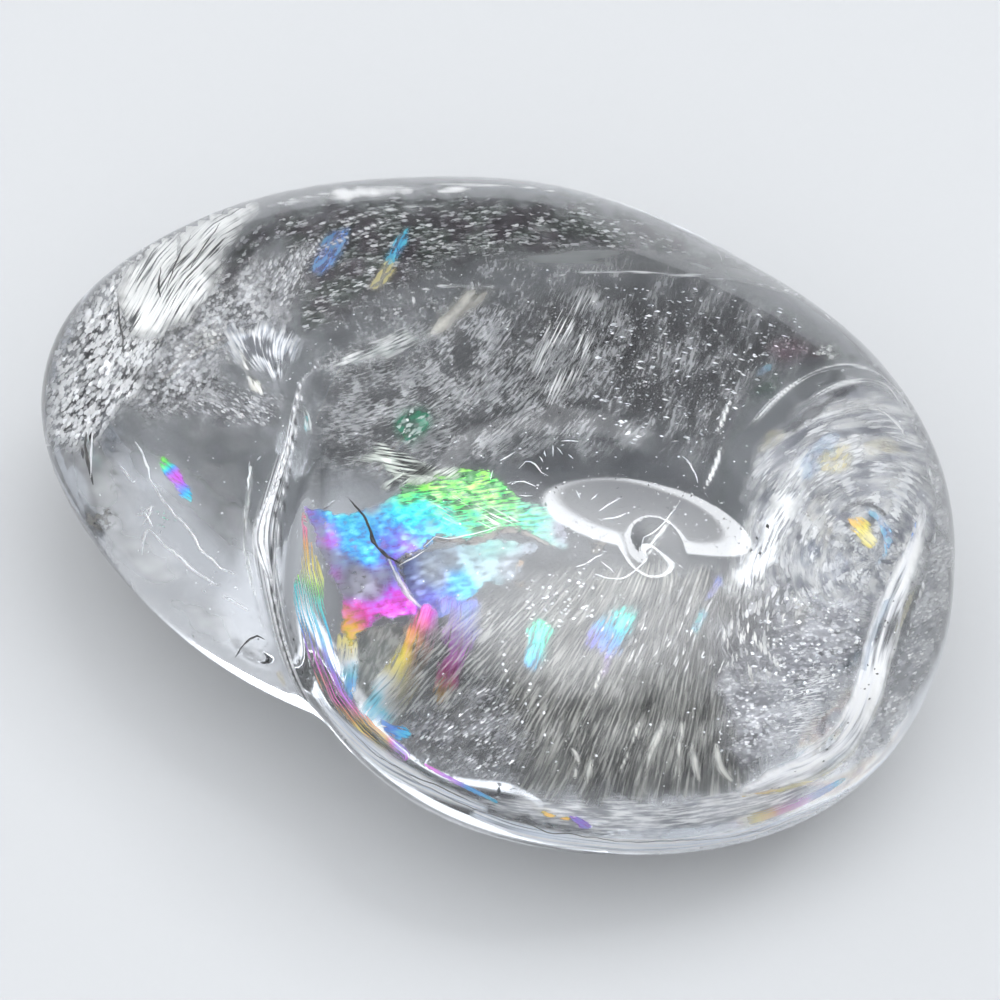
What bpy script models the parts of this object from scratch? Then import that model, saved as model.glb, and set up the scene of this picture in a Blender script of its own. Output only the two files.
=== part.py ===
"""A tumbled clear quartz pebble, about 42 mm long, made of two crystals that grew into each other.

The long crystal is the body of the pebble, and a rounder one stands out of its +X end as a shoulder.
Where they meet, a crease runs round the shoulder: sharp on the front left, worn soft at the back.
The pebble lies on a small worn facet at Z = 0. Units are metres, +Z is up, and X is the long axis.
"""

import math
from collections import namedtuple

import bmesh
import bpy
import numpy as np
from mathutils import Matrix, Vector

MM = 0.001
NAME = "clear_quartz"

# Each crystal is a rounded block, in millimetres and degrees. Its roundness is its superellipsoid
# exponent: 2 is an ellipsoid, and more is boxier. It turns about Z, and dips its own +X end.
Lobe = namedtuple("Lobe", "centre half_sizes roundness turn dip")
BODY = Lobe(centre=(0.0, 0.0, 9.5), half_sizes=(20.5, 15.2, 9.8), roundness=1.83, turn=0.0, dip=0.0)
SHOULDER = Lobe(
    centre=(7.1, -3.6, 10.1), half_sizes=(14.4, 14.0, 10.2), roundness=2.24, turn=27.0, dip=9.0
)

CORE = (3.0, -1.0, 9.0)  # a point deep inside both crystals, which the surface is measured from
FARTHEST = 30.0  # no part of the surface is farther than this from the core

# The crease is filled to a fillet of this width, which grows from the front to the back.
SHARP_CREASE, SOFT_CREASE = 0.5, 1.3
CREASE_TURNS_SOFT = (-2.0, 9.0)  # the Y range, in mm, over which it softens

# Tumbling leaves slow waves in the polish.
WAVE_HEIGHT, WAVE_LENGTH, WAVE_COUNT, WAVE_SEED = 0.05, 12.0, 9, 5

# Chips that the polish never reached the bottom of: azimuth and elevation seen from the core, then
# radius and depth.
Chip = namedtuple("Chip", "azimuth elevation radius depth")
CHIPS = (
    Chip(azimuth=-50.0, elevation=37.0, radius=1.3, depth=0.20),
    Chip(azimuth=-150.0, elevation=5.0, radius=1.5, depth=0.12),
    Chip(azimuth=-119.0, elevation=5.0, radius=1.4, depth=0.10),
)

SPHERE_DETAIL = 6  # subdivisions of the icosphere that is pressed into the pebble's shape
KEPT_SHARE = 0.30  # of its faces, kept where the surface bends most
BISECTION_STEPS = 40


def lobe_distance(lobe, points):
    """Roughly how far each point is outside a lobe, in millimetres, and below zero inside it."""
    turn = Matrix.Rotation(math.radians(lobe.turn), 3, "Z")
    dip = Matrix.Rotation(math.radians(lobe.dip), 3, "Y")
    own_axes = np.array(turn @ dip)  # its columns are the lobe's own X, Y and Z
    scaled = np.abs((points - np.array(lobe.centre)) @ own_axes) / np.array(lobe.half_sizes)
    reach = (scaled**lobe.roundness).sum(1) ** (1 / lobe.roundness)
    return (reach - 1) * min(lobe.half_sizes)


def smoothstep(value, start, end):
    share = np.clip((value - start) / (end - start), 0, 1)
    return share * share * (3 - 2 * share)


def pebble_distance(points):
    """The union of the two lobes, with the crease between them filleted."""
    body, shoulder = lobe_distance(BODY, points), lobe_distance(SHOULDER, points)
    soft = smoothstep(points[:, 1], *CREASE_TURNS_SOFT)
    width = SHARP_CREASE + (SOFT_CREASE - SHARP_CREASE) * soft
    overlap = np.maximum(width - np.abs(body - shoulder), 0)
    return np.minimum(body, shoulder) - overlap**2 / (4 * width)


def waves(directions):
    """The slow waves of the polish, from a few seeded ripples that cross each other."""
    rng = np.random.default_rng(WAVE_SEED)
    radius = BODY.half_sizes[0]
    total = np.zeros(len(directions))
    for _ in range(WAVE_COUNT):
        heading = rng.normal(size=3)
        heading /= np.linalg.norm(heading)
        phase = rng.uniform(0, 2 * math.pi)
        total += np.sin(directions @ heading * radius * 2 * math.pi / WAVE_LENGTH + phase)
    return total * WAVE_HEIGHT / math.sqrt(WAVE_COUNT)


def direction_of(azimuth, elevation):
    azimuth, elevation = math.radians(azimuth), math.radians(elevation)
    flat = math.cos(elevation)
    return np.array([flat * math.cos(azimuth), flat * math.sin(azimuth), math.sin(elevation)])


def chips(directions, radii):
    """How deep each point lies in a chip: a bowl with a rounded rim."""
    total = np.zeros(len(directions))
    for chip in CHIPS:
        away = np.arccos(np.clip(directions @ direction_of(chip.azimuth, chip.elevation), -1, 1)) * radii
        total += chip.depth * (1 - smoothstep(away, 0, chip.radius))
    return total


def surface_points(directions):
    """Where a ray from the core in each direction leaves the pebble, in millimetres."""
    core = np.array(CORE)
    near, far = np.zeros(len(directions)), np.full(len(directions), FARTHEST)
    for _ in range(BISECTION_STEPS):
        middle = (near + far) / 2
        inside = pebble_distance(core + directions * middle[:, None]) < 0
        near, far = np.where(inside, middle, near), np.where(inside, far, middle)
    radii = near + waves(directions)
    radii -= chips(directions, radii)
    return core + directions * radii[:, None]


def cut_facet(mesh):
    """Cuts the pebble off flat at Z = 0 and closes it with one flat face, the facet it rests on."""
    everything = mesh.verts[:] + mesh.edges[:] + mesh.faces[:]
    cut = bmesh.ops.bisect_plane(
        mesh, geom=everything, plane_co=(0, 0, 0), plane_no=(0, 0, -1), clear_outer=True
    )
    rim = [item for item in cut["geom_cut"] if isinstance(item, bmesh.types.BMEdge)]
    bmesh.ops.contextual_create(mesh, geom=rim)


def centre_on_origin(mesh):
    """Moves the pebble so that the origin is below the middle of its box."""
    points = [vertex.co for vertex in mesh.verts]
    middle = [(max(p[axis] for p in points) + min(p[axis] for p in points)) / 2 for axis in (0, 1)]
    bmesh.ops.translate(mesh, verts=mesh.verts, vec=Vector((-middle[0], -middle[1], 0)))


def pressed_sphere():
    """An icosphere pressed into the pebble's shape, without its facet."""
    mesh = bmesh.new()
    bmesh.ops.create_icosphere(mesh, subdivisions=SPHERE_DETAIL, radius=1)
    directions = np.array([vertex.co.normalized() for vertex in mesh.verts])
    for vertex, point in zip(mesh.verts, surface_points(directions) * MM):
        vertex.co = point
    return mesh


def thinned(mesh, collection):
    """The mesh with most faces of its calm stretches merged, so that the crease keeps the fine ones."""
    data = bpy.data.meshes.new("pressed_sphere")
    mesh.to_mesh(data)
    mesh.free()
    guide = bpy.data.objects.new("pressed_sphere", data)
    collection.objects.link(guide)
    decimate = guide.modifiers.new("merge_calm_faces", "DECIMATE")
    decimate.ratio = KEPT_SHARE
    graph = bpy.context.evaluated_depsgraph_get()
    merged = bmesh.new()
    merged.from_mesh(guide.evaluated_get(graph).to_mesh())
    bpy.data.objects.remove(guide)
    return merged


def quartz_material():
    """Colourless polished quartz: see-through, with quartz's own refractive index."""
    material = bpy.data.materials.new(NAME)
    material.use_nodes = True
    shader = material.node_tree.nodes["Principled BSDF"]
    shader.inputs["Base Color"].default_value = (0.97, 0.98, 1.0, 1.0)
    shader.inputs["Roughness"].default_value = 0.02
    shader.inputs["Transmission Weight"].default_value = 1.0
    shader.inputs["IOR"].default_value = 1.544
    return material


def build_pebble(collection):
    mesh = thinned(pressed_sphere(), collection)
    cut_facet(mesh)
    centre_on_origin(mesh)
    bmesh.ops.recalc_face_normals(mesh, faces=mesh.faces)
    data = bpy.data.meshes.new(NAME)
    mesh.to_mesh(data)
    mesh.free()
    data.shade_smooth()
    data.set_sharp_from_angle(angle=math.radians(40))
    data.materials.append(quartz_material())
    pebble = bpy.data.objects.new(NAME, data)
    collection.objects.link(pebble)


def main():
    for old in list(bpy.data.objects):
        bpy.data.objects.remove(old)
    collection = bpy.data.collections.new(NAME)
    bpy.context.scene.collection.children.link(collection)
    build_pebble(collection)


main()
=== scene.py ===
"""The looks of a tumbled clear quartz stone: the polished quartz, and what is caught inside it.

The stone is one clear solid with a finely worked surface. Inside it lie healed fractures (veils of
silvery flecks), thin open fractures that show interference colours (films), cracks and specks.
Some sheets and lines in it are painted light and shade rather than inclusions: painted highlights
and glints at its rims and crease, painted bands of light with their coloured fringes, and dark sheets
that paint shade.
Lengths in this script are millimetres until a mesh is made, and the frame is the CAD's own.

Each inclusion is placed by where it is seen: its outline or line is in pixels of a square picture
with PHOTO_SIDE pixels to a side, and its depth is in millimetres under the stone's surface there.
"""

import math
from collections import namedtuple

import bpy
import numpy as np
from mathutils import Matrix, Vector


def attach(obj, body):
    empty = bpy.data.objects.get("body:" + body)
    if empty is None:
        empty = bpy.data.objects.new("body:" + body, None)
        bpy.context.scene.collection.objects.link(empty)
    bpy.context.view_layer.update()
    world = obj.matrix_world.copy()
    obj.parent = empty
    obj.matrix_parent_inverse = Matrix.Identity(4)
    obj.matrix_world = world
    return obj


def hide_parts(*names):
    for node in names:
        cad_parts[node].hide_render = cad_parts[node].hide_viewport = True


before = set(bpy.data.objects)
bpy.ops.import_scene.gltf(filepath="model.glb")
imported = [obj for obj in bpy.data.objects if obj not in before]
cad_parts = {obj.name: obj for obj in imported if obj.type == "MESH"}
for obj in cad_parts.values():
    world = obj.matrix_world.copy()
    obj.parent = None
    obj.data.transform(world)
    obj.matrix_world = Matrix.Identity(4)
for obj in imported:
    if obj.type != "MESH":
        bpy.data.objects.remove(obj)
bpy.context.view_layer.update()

MM = 0.001

# ---------------------------------------------------------------- the stone's form, as in the CAD

Lobe = namedtuple("Lobe", "centre half_sizes roundness turn dip")
BODY = Lobe(centre=(0.0, 0.0, 9.5), half_sizes=(20.5, 15.2, 9.8), roundness=1.83, turn=0.0, dip=0.0)
SHOULDER = Lobe(
    centre=(7.1, -3.6, 10.1), half_sizes=(14.4, 14.0, 10.2), roundness=2.24, turn=27.0, dip=9.0
)
CORE = np.array((3.0, -1.0, 9.0))
FARTHEST = 30.0
SHARP_CREASE, SOFT_CREASE = 0.5, 1.3
CREASE_TURNS_SOFT = (-2.0, 9.0)
WAVE_HEIGHT, WAVE_LENGTH, WAVE_COUNT, WAVE_SEED = 0.05, 12.0, 9, 5
Chip = namedtuple("Chip", "azimuth elevation radius depth")
CHIPS = (
    Chip(azimuth=-50.0, elevation=37.0, radius=1.3, depth=0.20),
    Chip(azimuth=-150.0, elevation=5.0, radius=1.5, depth=0.12),
    Chip(azimuth=-119.0, elevation=5.0, radius=1.4, depth=0.10),
)
FACET_ROUNDING = 0.05  # of the worn rim of the facet that the stone rests on
BISECTION_STEPS = 32
SURFACE_CELLS = 128  # along each edge of the cube whose faces are pressed into the stone's surface


def smoothstep(value, start, end):
    share = np.clip((value - start) / (end - start), 0, 1)
    return share * share * (3 - 2 * share)


def lobe_distance(lobe, points):
    """Roughly how far each point is outside a lobe, and below zero inside it."""
    turn = Matrix.Rotation(math.radians(lobe.turn), 3, "Z")
    dip = Matrix.Rotation(math.radians(lobe.dip), 3, "Y")
    scaled = np.abs((points - np.array(lobe.centre)) @ np.array(turn @ dip)) / np.array(lobe.half_sizes)
    return ((scaled**lobe.roundness).sum(-1) ** (1 / lobe.roundness) - 1) * min(lobe.half_sizes)


def pebble_distance(points):
    body, shoulder = lobe_distance(BODY, points), lobe_distance(SHOULDER, points)
    width = SHARP_CREASE + (SOFT_CREASE - SHARP_CREASE) * smoothstep(points[..., 1], *CREASE_TURNS_SOFT)
    overlap = np.maximum(width - np.abs(body - shoulder), 0)
    return np.minimum(body, shoulder) - overlap**2 / (4 * width)


def waves(directions):
    rng = np.random.default_rng(WAVE_SEED)
    total = np.zeros(len(directions))
    for _ in range(WAVE_COUNT):
        heading = rng.normal(size=3)
        heading /= np.linalg.norm(heading)
        phase = rng.uniform(0, 2 * math.pi)
        total += np.sin(directions @ heading * BODY.half_sizes[0] * 2 * math.pi / WAVE_LENGTH + phase)
    return total * WAVE_HEIGHT / math.sqrt(WAVE_COUNT)


def direction_of(azimuth, elevation):
    azimuth, elevation = math.radians(azimuth), math.radians(elevation)
    flat = math.cos(elevation)
    return np.array([flat * math.cos(azimuth), flat * math.sin(azimuth), math.sin(elevation)])


def chips(directions, radii):
    total = np.zeros(len(directions))
    for chip in CHIPS:
        away = np.arccos(np.clip(directions @ direction_of(chip.azimuth, chip.elevation), -1, 1)) * radii
        total += chip.depth * (1 - smoothstep(away, 0, chip.radius))
    return total


def surface_radii(directions):
    """How far the surface is from the core in each direction, chips and waves included."""
    near, far = np.zeros(len(directions)), np.full(len(directions), FARTHEST)
    for _ in range(BISECTION_STEPS):
        middle = (near + far) / 2
        inside = pebble_distance(CORE + directions * middle[:, None]) < 0
        near, far = np.where(inside, middle, near), np.where(inside, far, middle)
    radii = near + waves(directions)
    return radii - chips(directions, radii)


def cube_sphere(cells):
    """Unit directions over a sphere, and the quads between them, from a cube's six gridded faces."""
    steps = np.tan(np.linspace(-math.pi / 4, math.pi / 4, cells + 1))
    across, up = np.meshgrid(steps, steps, indexing="ij")
    row, column = np.meshgrid(np.arange(cells), np.arange(cells), indexing="ij")
    corner = row * (cells + 1) + column
    quad = np.stack([corner, corner + cells + 1, corner + cells + 2, corner + 1], -1).reshape(-1, 4)
    points, quads = [], []
    axes = np.eye(3)
    for axis in range(3):
        for side in (1, -1):
            first, second = axes[(axis + 1) % 3], axes[(axis + 2) % 3] * side
            face = axes[axis] * side + across[..., None] * first + up[..., None] * second
            quads.append(quad + len(points) * (cells + 1) ** 2)
            points.append(face.reshape(-1, 3))
    points, quads = np.concatenate(points), np.concatenate(quads)
    _, kept, merged = np.unique(np.round(points, 6), axis=0, return_index=True, return_inverse=True)
    points = points[kept]
    return points / np.linalg.norm(points, axis=1)[:, None], merged.reshape(-1)[quads]


def centring_shift():
    """What moves the middle of the stone's box over the origin, as the CAD does."""
    points = CORE + SMOOTH_DIRECTIONS * SMOOTH_RADII[:, None]
    middle = (points.max(0) + points.min(0)) / 2
    return np.array([-middle[0], -middle[1], 0.0])


SMOOTH_DIRECTIONS, SURFACE_QUADS = cube_sphere(SURFACE_CELLS)
SMOOTH_RADII = surface_radii(SMOOTH_DIRECTIONS)
SHIFT = centring_shift()

# ---------------------------------------------------------------- noise, seeded and smooth

HASH_FACTORS = np.array((374761393, 668265263, 2147483647))  # large primes, which mix a cell's three numbers
HASH_SEED_FACTOR, HASH_MIXER = 974711, 1274126177
HASH_HIGHEST = 0xFFFF


def lattice_values(cells, seed):
    """A repeatable value between -1 and 1 for each whole-numbered cell corner."""
    mixed = (cells * HASH_FACTORS).sum(-1) + seed * HASH_SEED_FACTOR
    mixed = (mixed ^ (mixed >> 13)) * HASH_MIXER & 0xFFFFFFFF
    mixed = (mixed ^ (mixed >> 16)) & HASH_HIGHEST
    return mixed / (HASH_HIGHEST / 2) - 1


def noise(points, seed=0):
    """Smooth value noise, one blob to a unit."""
    cell = np.floor(points).astype(np.int64)
    part = points - cell
    part = part * part * (3 - 2 * part)
    total = 0
    for corner in np.ndindex(2, 2, 2):
        weight = np.prod(np.where(np.array(corner), part, 1 - part), -1)
        total = total + weight * lattice_values(cell + np.array(corner), seed)
    return total


def rough_noise(points, octaves, seed=0):
    return sum(noise(points * 2**level, seed + level) / 2**level for level in range(octaves))


# ---------------------------------------------------------------- the camera, and places seen by it

PHOTO_SIDE = 1000  # the picture is square
CAMERA_AZIMUTH, CAMERA_ELEVATION = 21.1, 46.0
CAMERA_DISTANCE, CAMERA_LENS, SENSOR = 132.6, 110.0, 36.0
CAMERA_TARGET = SHIFT + np.array((1.43, -1.77, 8.85))
QUARTZ_IOR = 1.544

MARCH_STRIDE = 0.5  # of a ray on its way to the surface
LONGEST_PATH = 45  # through the stone
STEP_IN = 0.3  # from where a ray enters, so that its way out isn't found there
SHALLOWEST = 0.25  # an inclusion's least depth
FAR_SIDE_GAP = 0.4  # between an inclusion and the stone's far side
LEAST_COVER = 0.1  # of quartz over an inclusion

BACK = direction_of(CAMERA_AZIMUTH - 90, CAMERA_ELEVATION)
RIGHT = direction_of(CAMERA_AZIMUTH, 0)
UP = np.cross(BACK, RIGHT)
EYE = CAMERA_TARGET + BACK * CAMERA_DISTANCE
FOCAL_PIXELS = CAMERA_LENS / SENSOR * PHOTO_SIDE
PIXELS_PER_MM = FOCAL_PIXELS / CAMERA_DISTANCE


def unit(vectors):
    return vectors / np.linalg.norm(vectors, axis=-1, keepdims=True)


def outside_distance(points):
    """How far points in the CAD's frame are outside the stone, waves included."""
    inner = points - SHIFT
    directions = unit(inner - CORE)
    waved = inner - directions * waves(directions)[:, None]
    return np.maximum(pebble_distance(waved), -inner[:, 2])


def surface_normals(points, step=0.05):
    """Outward normals, from how the distance grows along each axis."""
    slopes = [
        outside_distance(points + axis * step) - outside_distance(points - axis * step) for axis in np.eye(3)
    ]
    return unit(np.stack(slopes, -1))


def crossing(starts, headings, first, last, leaving):
    """How far along each ray the surface is: the way in, or the way out if leaving."""
    found = np.full(len(starts), last)
    open_ray = np.ones(len(starts), bool)
    for reach in np.arange(first, last, MARCH_STRIDE):
        outside = outside_distance(starts + headings * reach) > 0
        hit = open_ray & (outside if leaving else ~outside)
        found[hit] = reach
        open_ray &= ~hit
    near, far = found - MARCH_STRIDE, found.copy()
    for _ in range(BISECTION_STEPS // 2):
        middle = (near + far) / 2
        outside = outside_distance(starts + headings * middle[:, None]) > 0
        past = outside if leaving else ~outside
        near, far = np.where(past, near, middle), np.where(past, middle, far)
    return (near + far) / 2


def bent_rays(pixels):
    """Where each pixel's ray enters the stone, its heading inside, and how far it runs in there."""
    pixels = np.asarray(pixels, float).reshape(-1, 2)
    sideways = (pixels[:, :1] - PHOTO_SIDE / 2) / FOCAL_PIXELS
    upward = (PHOTO_SIDE / 2 - pixels[:, 1:]) / FOCAL_PIXELS
    headings = unit(sideways * RIGHT + upward * UP - BACK)
    starts = np.repeat(EYE[None], len(pixels), 0)
    nearest, farthest = CAMERA_DISTANCE - FARTHEST, CAMERA_DISTANCE + FARTHEST
    reach = crossing(starts, headings, nearest, farthest, leaving=False)
    entry = starts + headings * reach[:, None]
    normals = surface_normals(entry)
    cosine = -(headings * normals).sum(1, keepdims=True)
    ratio = 1 / QUARTZ_IOR
    bent = ratio * headings + (ratio * cosine - np.sqrt(1 - ratio**2 * (1 - cosine**2))) * normals
    return entry, unit(bent), crossing(entry + bent * STEP_IN, bent, 0, LONGEST_PATH, leaving=True)


def inside(pixels, depth):
    """The points seen at these pixels, this deep under the surface and never through the far side."""
    entry, bent, path = bent_rays(pixels)
    depth = np.clip(depth, SHALLOWEST, np.maximum(path - FAR_SIDE_GAP, STEP_IN))
    points = entry + bent * np.reshape(depth, (-1, 1))
    points[outside_distance(points) > -LEAST_COVER] = np.nan  # the pixel misses the stone
    return points


# ---------------------------------------------------------------- meshes and node helpers


def mesh_piece(name, points, faces, material, smooth=True):
    """A mesh object from points in millimetres."""
    data = bpy.data.meshes.new(name)
    data.from_pydata((np.asarray(points) * MM).tolist(), [], np.asarray(faces).tolist())
    if smooth:
        data.shade_smooth()
    data.materials.append(material)
    piece = bpy.data.objects.new(name, data)
    bpy.context.scene.collection.objects.link(piece)
    return piece


def quartz_piece(piece, *replaced):
    """Declares a piece as part of the stone."""
    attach(piece, "root")
    if replaced:
        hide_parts(*replaced)
    return piece


class Nodes:
    """Adds nodes to a tree. A value given as a socket is linked, and any other is set."""

    def __init__(self, tree):
        self.tree = tree

    def add(self, kind, settings=None, **inputs):
        node = self.tree.nodes.new(kind)
        for key, value in (settings or {}).items():
            setattr(node, key, value)
        for key, value in inputs.items():
            self.feed(value, node.inputs[key.replace("_", " ")])
        return node

    def feed(self, value, socket):
        if isinstance(value, bpy.types.NodeSocket):
            self.tree.links.new(value, socket)
        else:
            socket.default_value = value

    def math(self, operation, *values):
        node = self.tree.nodes.new("ShaderNodeMath")
        node.operation = operation
        for value, socket in zip(values, node.inputs):
            self.feed(value, socket)
        return node.outputs[0]

    def vector(self, operation, *values):
        node = self.tree.nodes.new("ShaderNodeVectorMath")
        node.operation = operation
        for value, socket in zip(values, node.inputs):
            self.feed(value, socket)
        return node.outputs["Value" if operation in ("DOT_PRODUCT", "LENGTH", "DISTANCE") else "Vector"]

    def split(self, vector):
        return self.add("ShaderNodeSeparateXYZ", None, Vector=vector).outputs

    def smooth(self, value, start, end, low=0.0, high=1.0):
        """Low up to the start and high from the end on, with a soft step between them."""
        node = self.tree.nodes.new("ShaderNodeMapRange")
        node.interpolation_type = "SMOOTHSTEP"
        names = ("Value", "From Min", "From Max", "To Min", "To Max")
        for name, given in zip(names, (value, start, end, low, high)):
            self.feed(given, node.inputs[name])
        return node.outputs[0]

    def noise(self, vector, scale=1.0, detail=2.0, dimensions="2D"):
        """Noise as a value and as three values."""
        settings = {"noise_dimensions": dimensions}
        return self.add("ShaderNodeTexNoise", settings, Vector=vector, Scale=scale, Detail=detail).outputs

    def cells(self, vector):
        """How far each place is from its own cell's middle, and the cell's three random values."""
        node = self.add("ShaderNodeTexVoronoi", {"voronoi_dimensions": "2D"}, Vector=vector, Scale=1.0)
        return node.outputs["Distance"], node.outputs["Color"]

    def ramp(self, value, stops):
        """A colour ramp of (place, (r, g, b)) stops."""
        node = self.tree.nodes.new("ShaderNodeValToRGB")
        elements = node.color_ramp.elements
        while len(elements) < len(stops):
            elements.new(0.5)
        for element, (place, colour) in zip(elements, stops):
            element.position, element.color = place, (*colour, 1.0)
        self.feed(value, node.inputs[0])
        return node.outputs[0]

    def mix_colour(self, share, first, second):
        node = self.tree.nodes.new("ShaderNodeMix")
        node.data_type = "RGBA"
        self.feed(share, node.inputs[0])
        for value, socket in ((first, node.inputs[6]), (second, node.inputs[7])):
            if isinstance(value, tuple):
                value = (*value, 1.0)
            self.feed(value, socket)
        return node.outputs[2]


def blank_material(name):
    material = bpy.data.materials.new(name)
    material.use_nodes = True
    material.node_tree.nodes.clear()
    nodes = Nodes(material.node_tree)
    return material, nodes, nodes.add("ShaderNodeOutputMaterial")


# ---------------------------------------------------------------- sheets, cracks and specks inside

CURVE_STEPS = 8  # between two corners of an outline or a line
NOTHING = 1e-9  # stands in for zero where a number is divided by


def closed_curve(corners):
    """A smooth closed line through the corners (Catmull-Rom)."""
    corners = np.array(corners, float)
    before, after, beyond = np.roll(corners, 1, 0), np.roll(corners, -1, 0), np.roll(corners, -2, 0)
    slope = after - before
    bend = 2 * before - 5 * corners + 4 * after - beyond
    twist = 3 * corners - before - 3 * after + beyond
    shares = np.arange(CURVE_STEPS) / CURVE_STEPS
    points = [0.5 * (2 * corners + slope * t + bend * t**2 + twist * t**3) for t in shares]
    return np.stack(points, 1).reshape(-1, 2)


def open_curve(corners):
    """A smooth line from the first corner to the last."""
    corners = np.array(corners, float)
    doubled_ends = np.concatenate([corners[:1], corners, corners[-1:]])
    return closed_curve(doubled_ends)[CURVE_STEPS : -2 * CURVE_STEPS + 1]


def ribbon(line, widths):
    """A smooth line of pixels and the outline of a strip along it, as wide as said at each corner."""
    middle = open_curve(line)
    along = unit(np.gradient(middle, axis=0))
    half = np.interp(np.linspace(0, 1, len(middle)), np.linspace(0, 1, len(widths)), widths)[:, None] / 2
    across = np.stack([-along[:, 1], along[:, 0]], -1) * half
    return middle, np.concatenate([middle + across, (middle - across)[::-1]])


def depth_in_outline(points, outline):
    """How far points are inside a closed outline: below zero outside."""
    starts, ends = outline, np.roll(outline, -1, 0)
    runs = ends - starts
    apart = points[:, None] - starts
    share = np.clip((apart * runs).sum(-1) / np.maximum((runs**2).sum(-1), NOTHING), 0, 1)
    nearest = np.linalg.norm(apart - share[..., None] * runs, axis=-1).min(1)
    above = (starts[:, 1] > points[:, None, 1]) != (ends[:, 1] > points[:, None, 1])
    rise = np.where(np.abs(runs[:, 1]) < NOTHING, NOTHING, runs[:, 1])
    crossing_x = starts[:, 0] + (points[:, None, 1] - starts[:, 1]) / rise * runs[:, 0]
    within = ((points[:, None, 0] < crossing_x) & above).sum(1) % 2 == 1
    return np.where(within, nearest, -nearest)


def straight(degrees):
    """A flow whose streaks run this many degrees anticlockwise of the picture's own right."""
    turn = math.radians(degrees)

    def flow(points):
        x, y = points[:, 0] / PIXELS_PER_MM, -points[:, 1] / PIXELS_PER_MM
        along = x * math.cos(turn) + y * math.sin(turn)
        across = y * math.cos(turn) - x * math.sin(turn)
        return np.stack([along, across], -1)

    return flow


def polar(points, centre):
    """How far round a pixel, and how far from it, points are. The seam is opposite their middle."""
    apart = (points - np.array(centre)) / PIXELS_PER_MM
    radius = np.linalg.norm(apart, axis=1)
    x, y = unit(apart.mean(0))
    ahead, aside = apart @ np.array((x, y)), apart @ np.array((-y, x))
    return np.arctan2(aside, ahead) * radius.mean(), radius


def round_about(centre):
    """A flow whose streaks run round a pixel."""

    def flow(points):
        return np.stack(polar(points, centre), -1)

    return flow


def towards(centre):
    """A flow whose streaks run towards a pixel."""

    def flow(points):
        return np.stack(polar(points, centre)[::-1], -1)

    return flow


def beside(line):
    """A flow whose streaks follow a line of pixels."""
    line = np.array(line, float)
    starts, runs = line[:-1], np.diff(line, axis=0)
    lengths = np.linalg.norm(runs, axis=1)
    before = np.r_[0, np.cumsum(lengths)[:-1]]

    def flow(points):
        apart = points[:, None] - starts
        share = np.clip((apart * runs).sum(-1) / lengths**2, 0, 1)
        gap = np.linalg.norm(apart - share[..., None] * runs, axis=-1)
        nearest = gap.argmin(1)
        row = np.arange(len(points))
        side = np.sign(runs[nearest, 0] * apart[row, nearest, 1] - runs[nearest, 1] * apart[row, nearest, 0])
        along = before[nearest] + share[row, nearest] * lengths[nearest]
        return np.stack([along, side * gap[row, nearest]], -1) / PIXELS_PER_MM

    return flow


RAGGED_GRAIN, CRUMPLE_GRAIN, WOBBLE_GRAIN = 1.4, 0.8, 0.3  # blobs of noise to a millimetre
NOISE_APART = 7.3  # what keeps one sheet's noise away from the next one's
WIDEST_FADE = 0.9  # of the way from a sheet's edge to its middle


def sheet(name, material, outline, depth, slope=(0, 0), bulge=0.0, flow=straight(0), fade=0.8, ragged=0.3,
          crumple=0.15, wobble=0.12, cell=6, spots=(), seed=0, curved=True):
    """A fracture: a gently crumpled sheet inside the stone, seen within an outline of pixels.

    depth is under the surface at the sheet's middle, and slope is how much deeper it gets for each
    millimetre to the right and downwards. fade is how far in from the ragged edge it comes to its full
    strength, wobble bends its streaks, and cell is the size of its faces in pixels. They carry two sets
    of numbers for its material: flow (along the streaks, across them, and how far in from the edge, as
    a share of fade), and, where it has spots, film (interference order, and strength).
    """
    curve = closed_curve(outline) if curved else np.array(outline)
    low, high = curve.min(0) - cell, curve.max(0) + cell
    across, down = np.arange(low[0], high[0] + cell, cell), np.arange(low[1], high[1] + cell, cell)
    grid = np.stack(np.meshgrid(across, down, indexing="ij"), -1)
    pixels = grid.reshape(-1, 2)
    middle = (low + high) / 2
    from_middle = (pixels - middle) / PIXELS_PER_MM
    half = (high - low) / 2 / PIXELS_PER_MM
    flat = np.concatenate([from_middle, np.full((len(pixels), 1), seed * NOISE_APART)], 1)
    inset = depth_in_outline(pixels, curve) / PIXELS_PER_MM
    inset = inset + ragged * rough_noise(flat * RAGGED_GRAIN, 3, seed)
    depths = depth + from_middle @ np.array(slope) + bulge * (1 - ((from_middle / half) ** 2).sum(1))
    depths = depths + crumple * rough_noise(flat * CRUMPLE_GRAIN, 3, seed + 9)
    edge = np.clip(inset / min(fade, WIDEST_FADE * inset.max()), 0, 1)
    points = inside(pixels, depths)
    rows, columns = grid.shape[:2]
    row, column = np.meshgrid(np.arange(rows - 1), np.arange(columns - 1), indexing="ij")
    corner = row * columns + column
    faces = np.stack([corner, corner + 1, corner + columns + 1, corner + columns], -1).reshape(-1, 4)
    faces = faces[(edge[faces] > 0).any(1) & np.isfinite(points[faces]).all((1, 2))]
    used, faces = np.unique(faces, return_inverse=True)
    piece = mesh_piece(name, points[used], faces.reshape(-1, 4), material)
    along_across = flow(pixels)
    along_across[:, 1] += wobble * rough_noise(flat * WOBBLE_GRAIN, 2, seed + 20)
    write_numbers(piece, "flow", np.concatenate([along_across, edge[:, None]], 1)[used])
    if spots:
        write_numbers(piece, "film", film_numbers(pixels, spots)[used])
    return quartz_piece(piece)


def strip(name, material, line, widths, depth, fade=0.2, ragged=0.015, cell=3, **more):
    """A narrow sheet along a line of pixels, with its streaks along it."""
    middle, outline = ribbon(line, widths)
    flow = beside(middle)
    shape = dict(flow=flow, fade=fade, ragged=ragged, cell=cell, curved=False)
    return sheet(name, material, outline, depth, **shape, **more)


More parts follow.
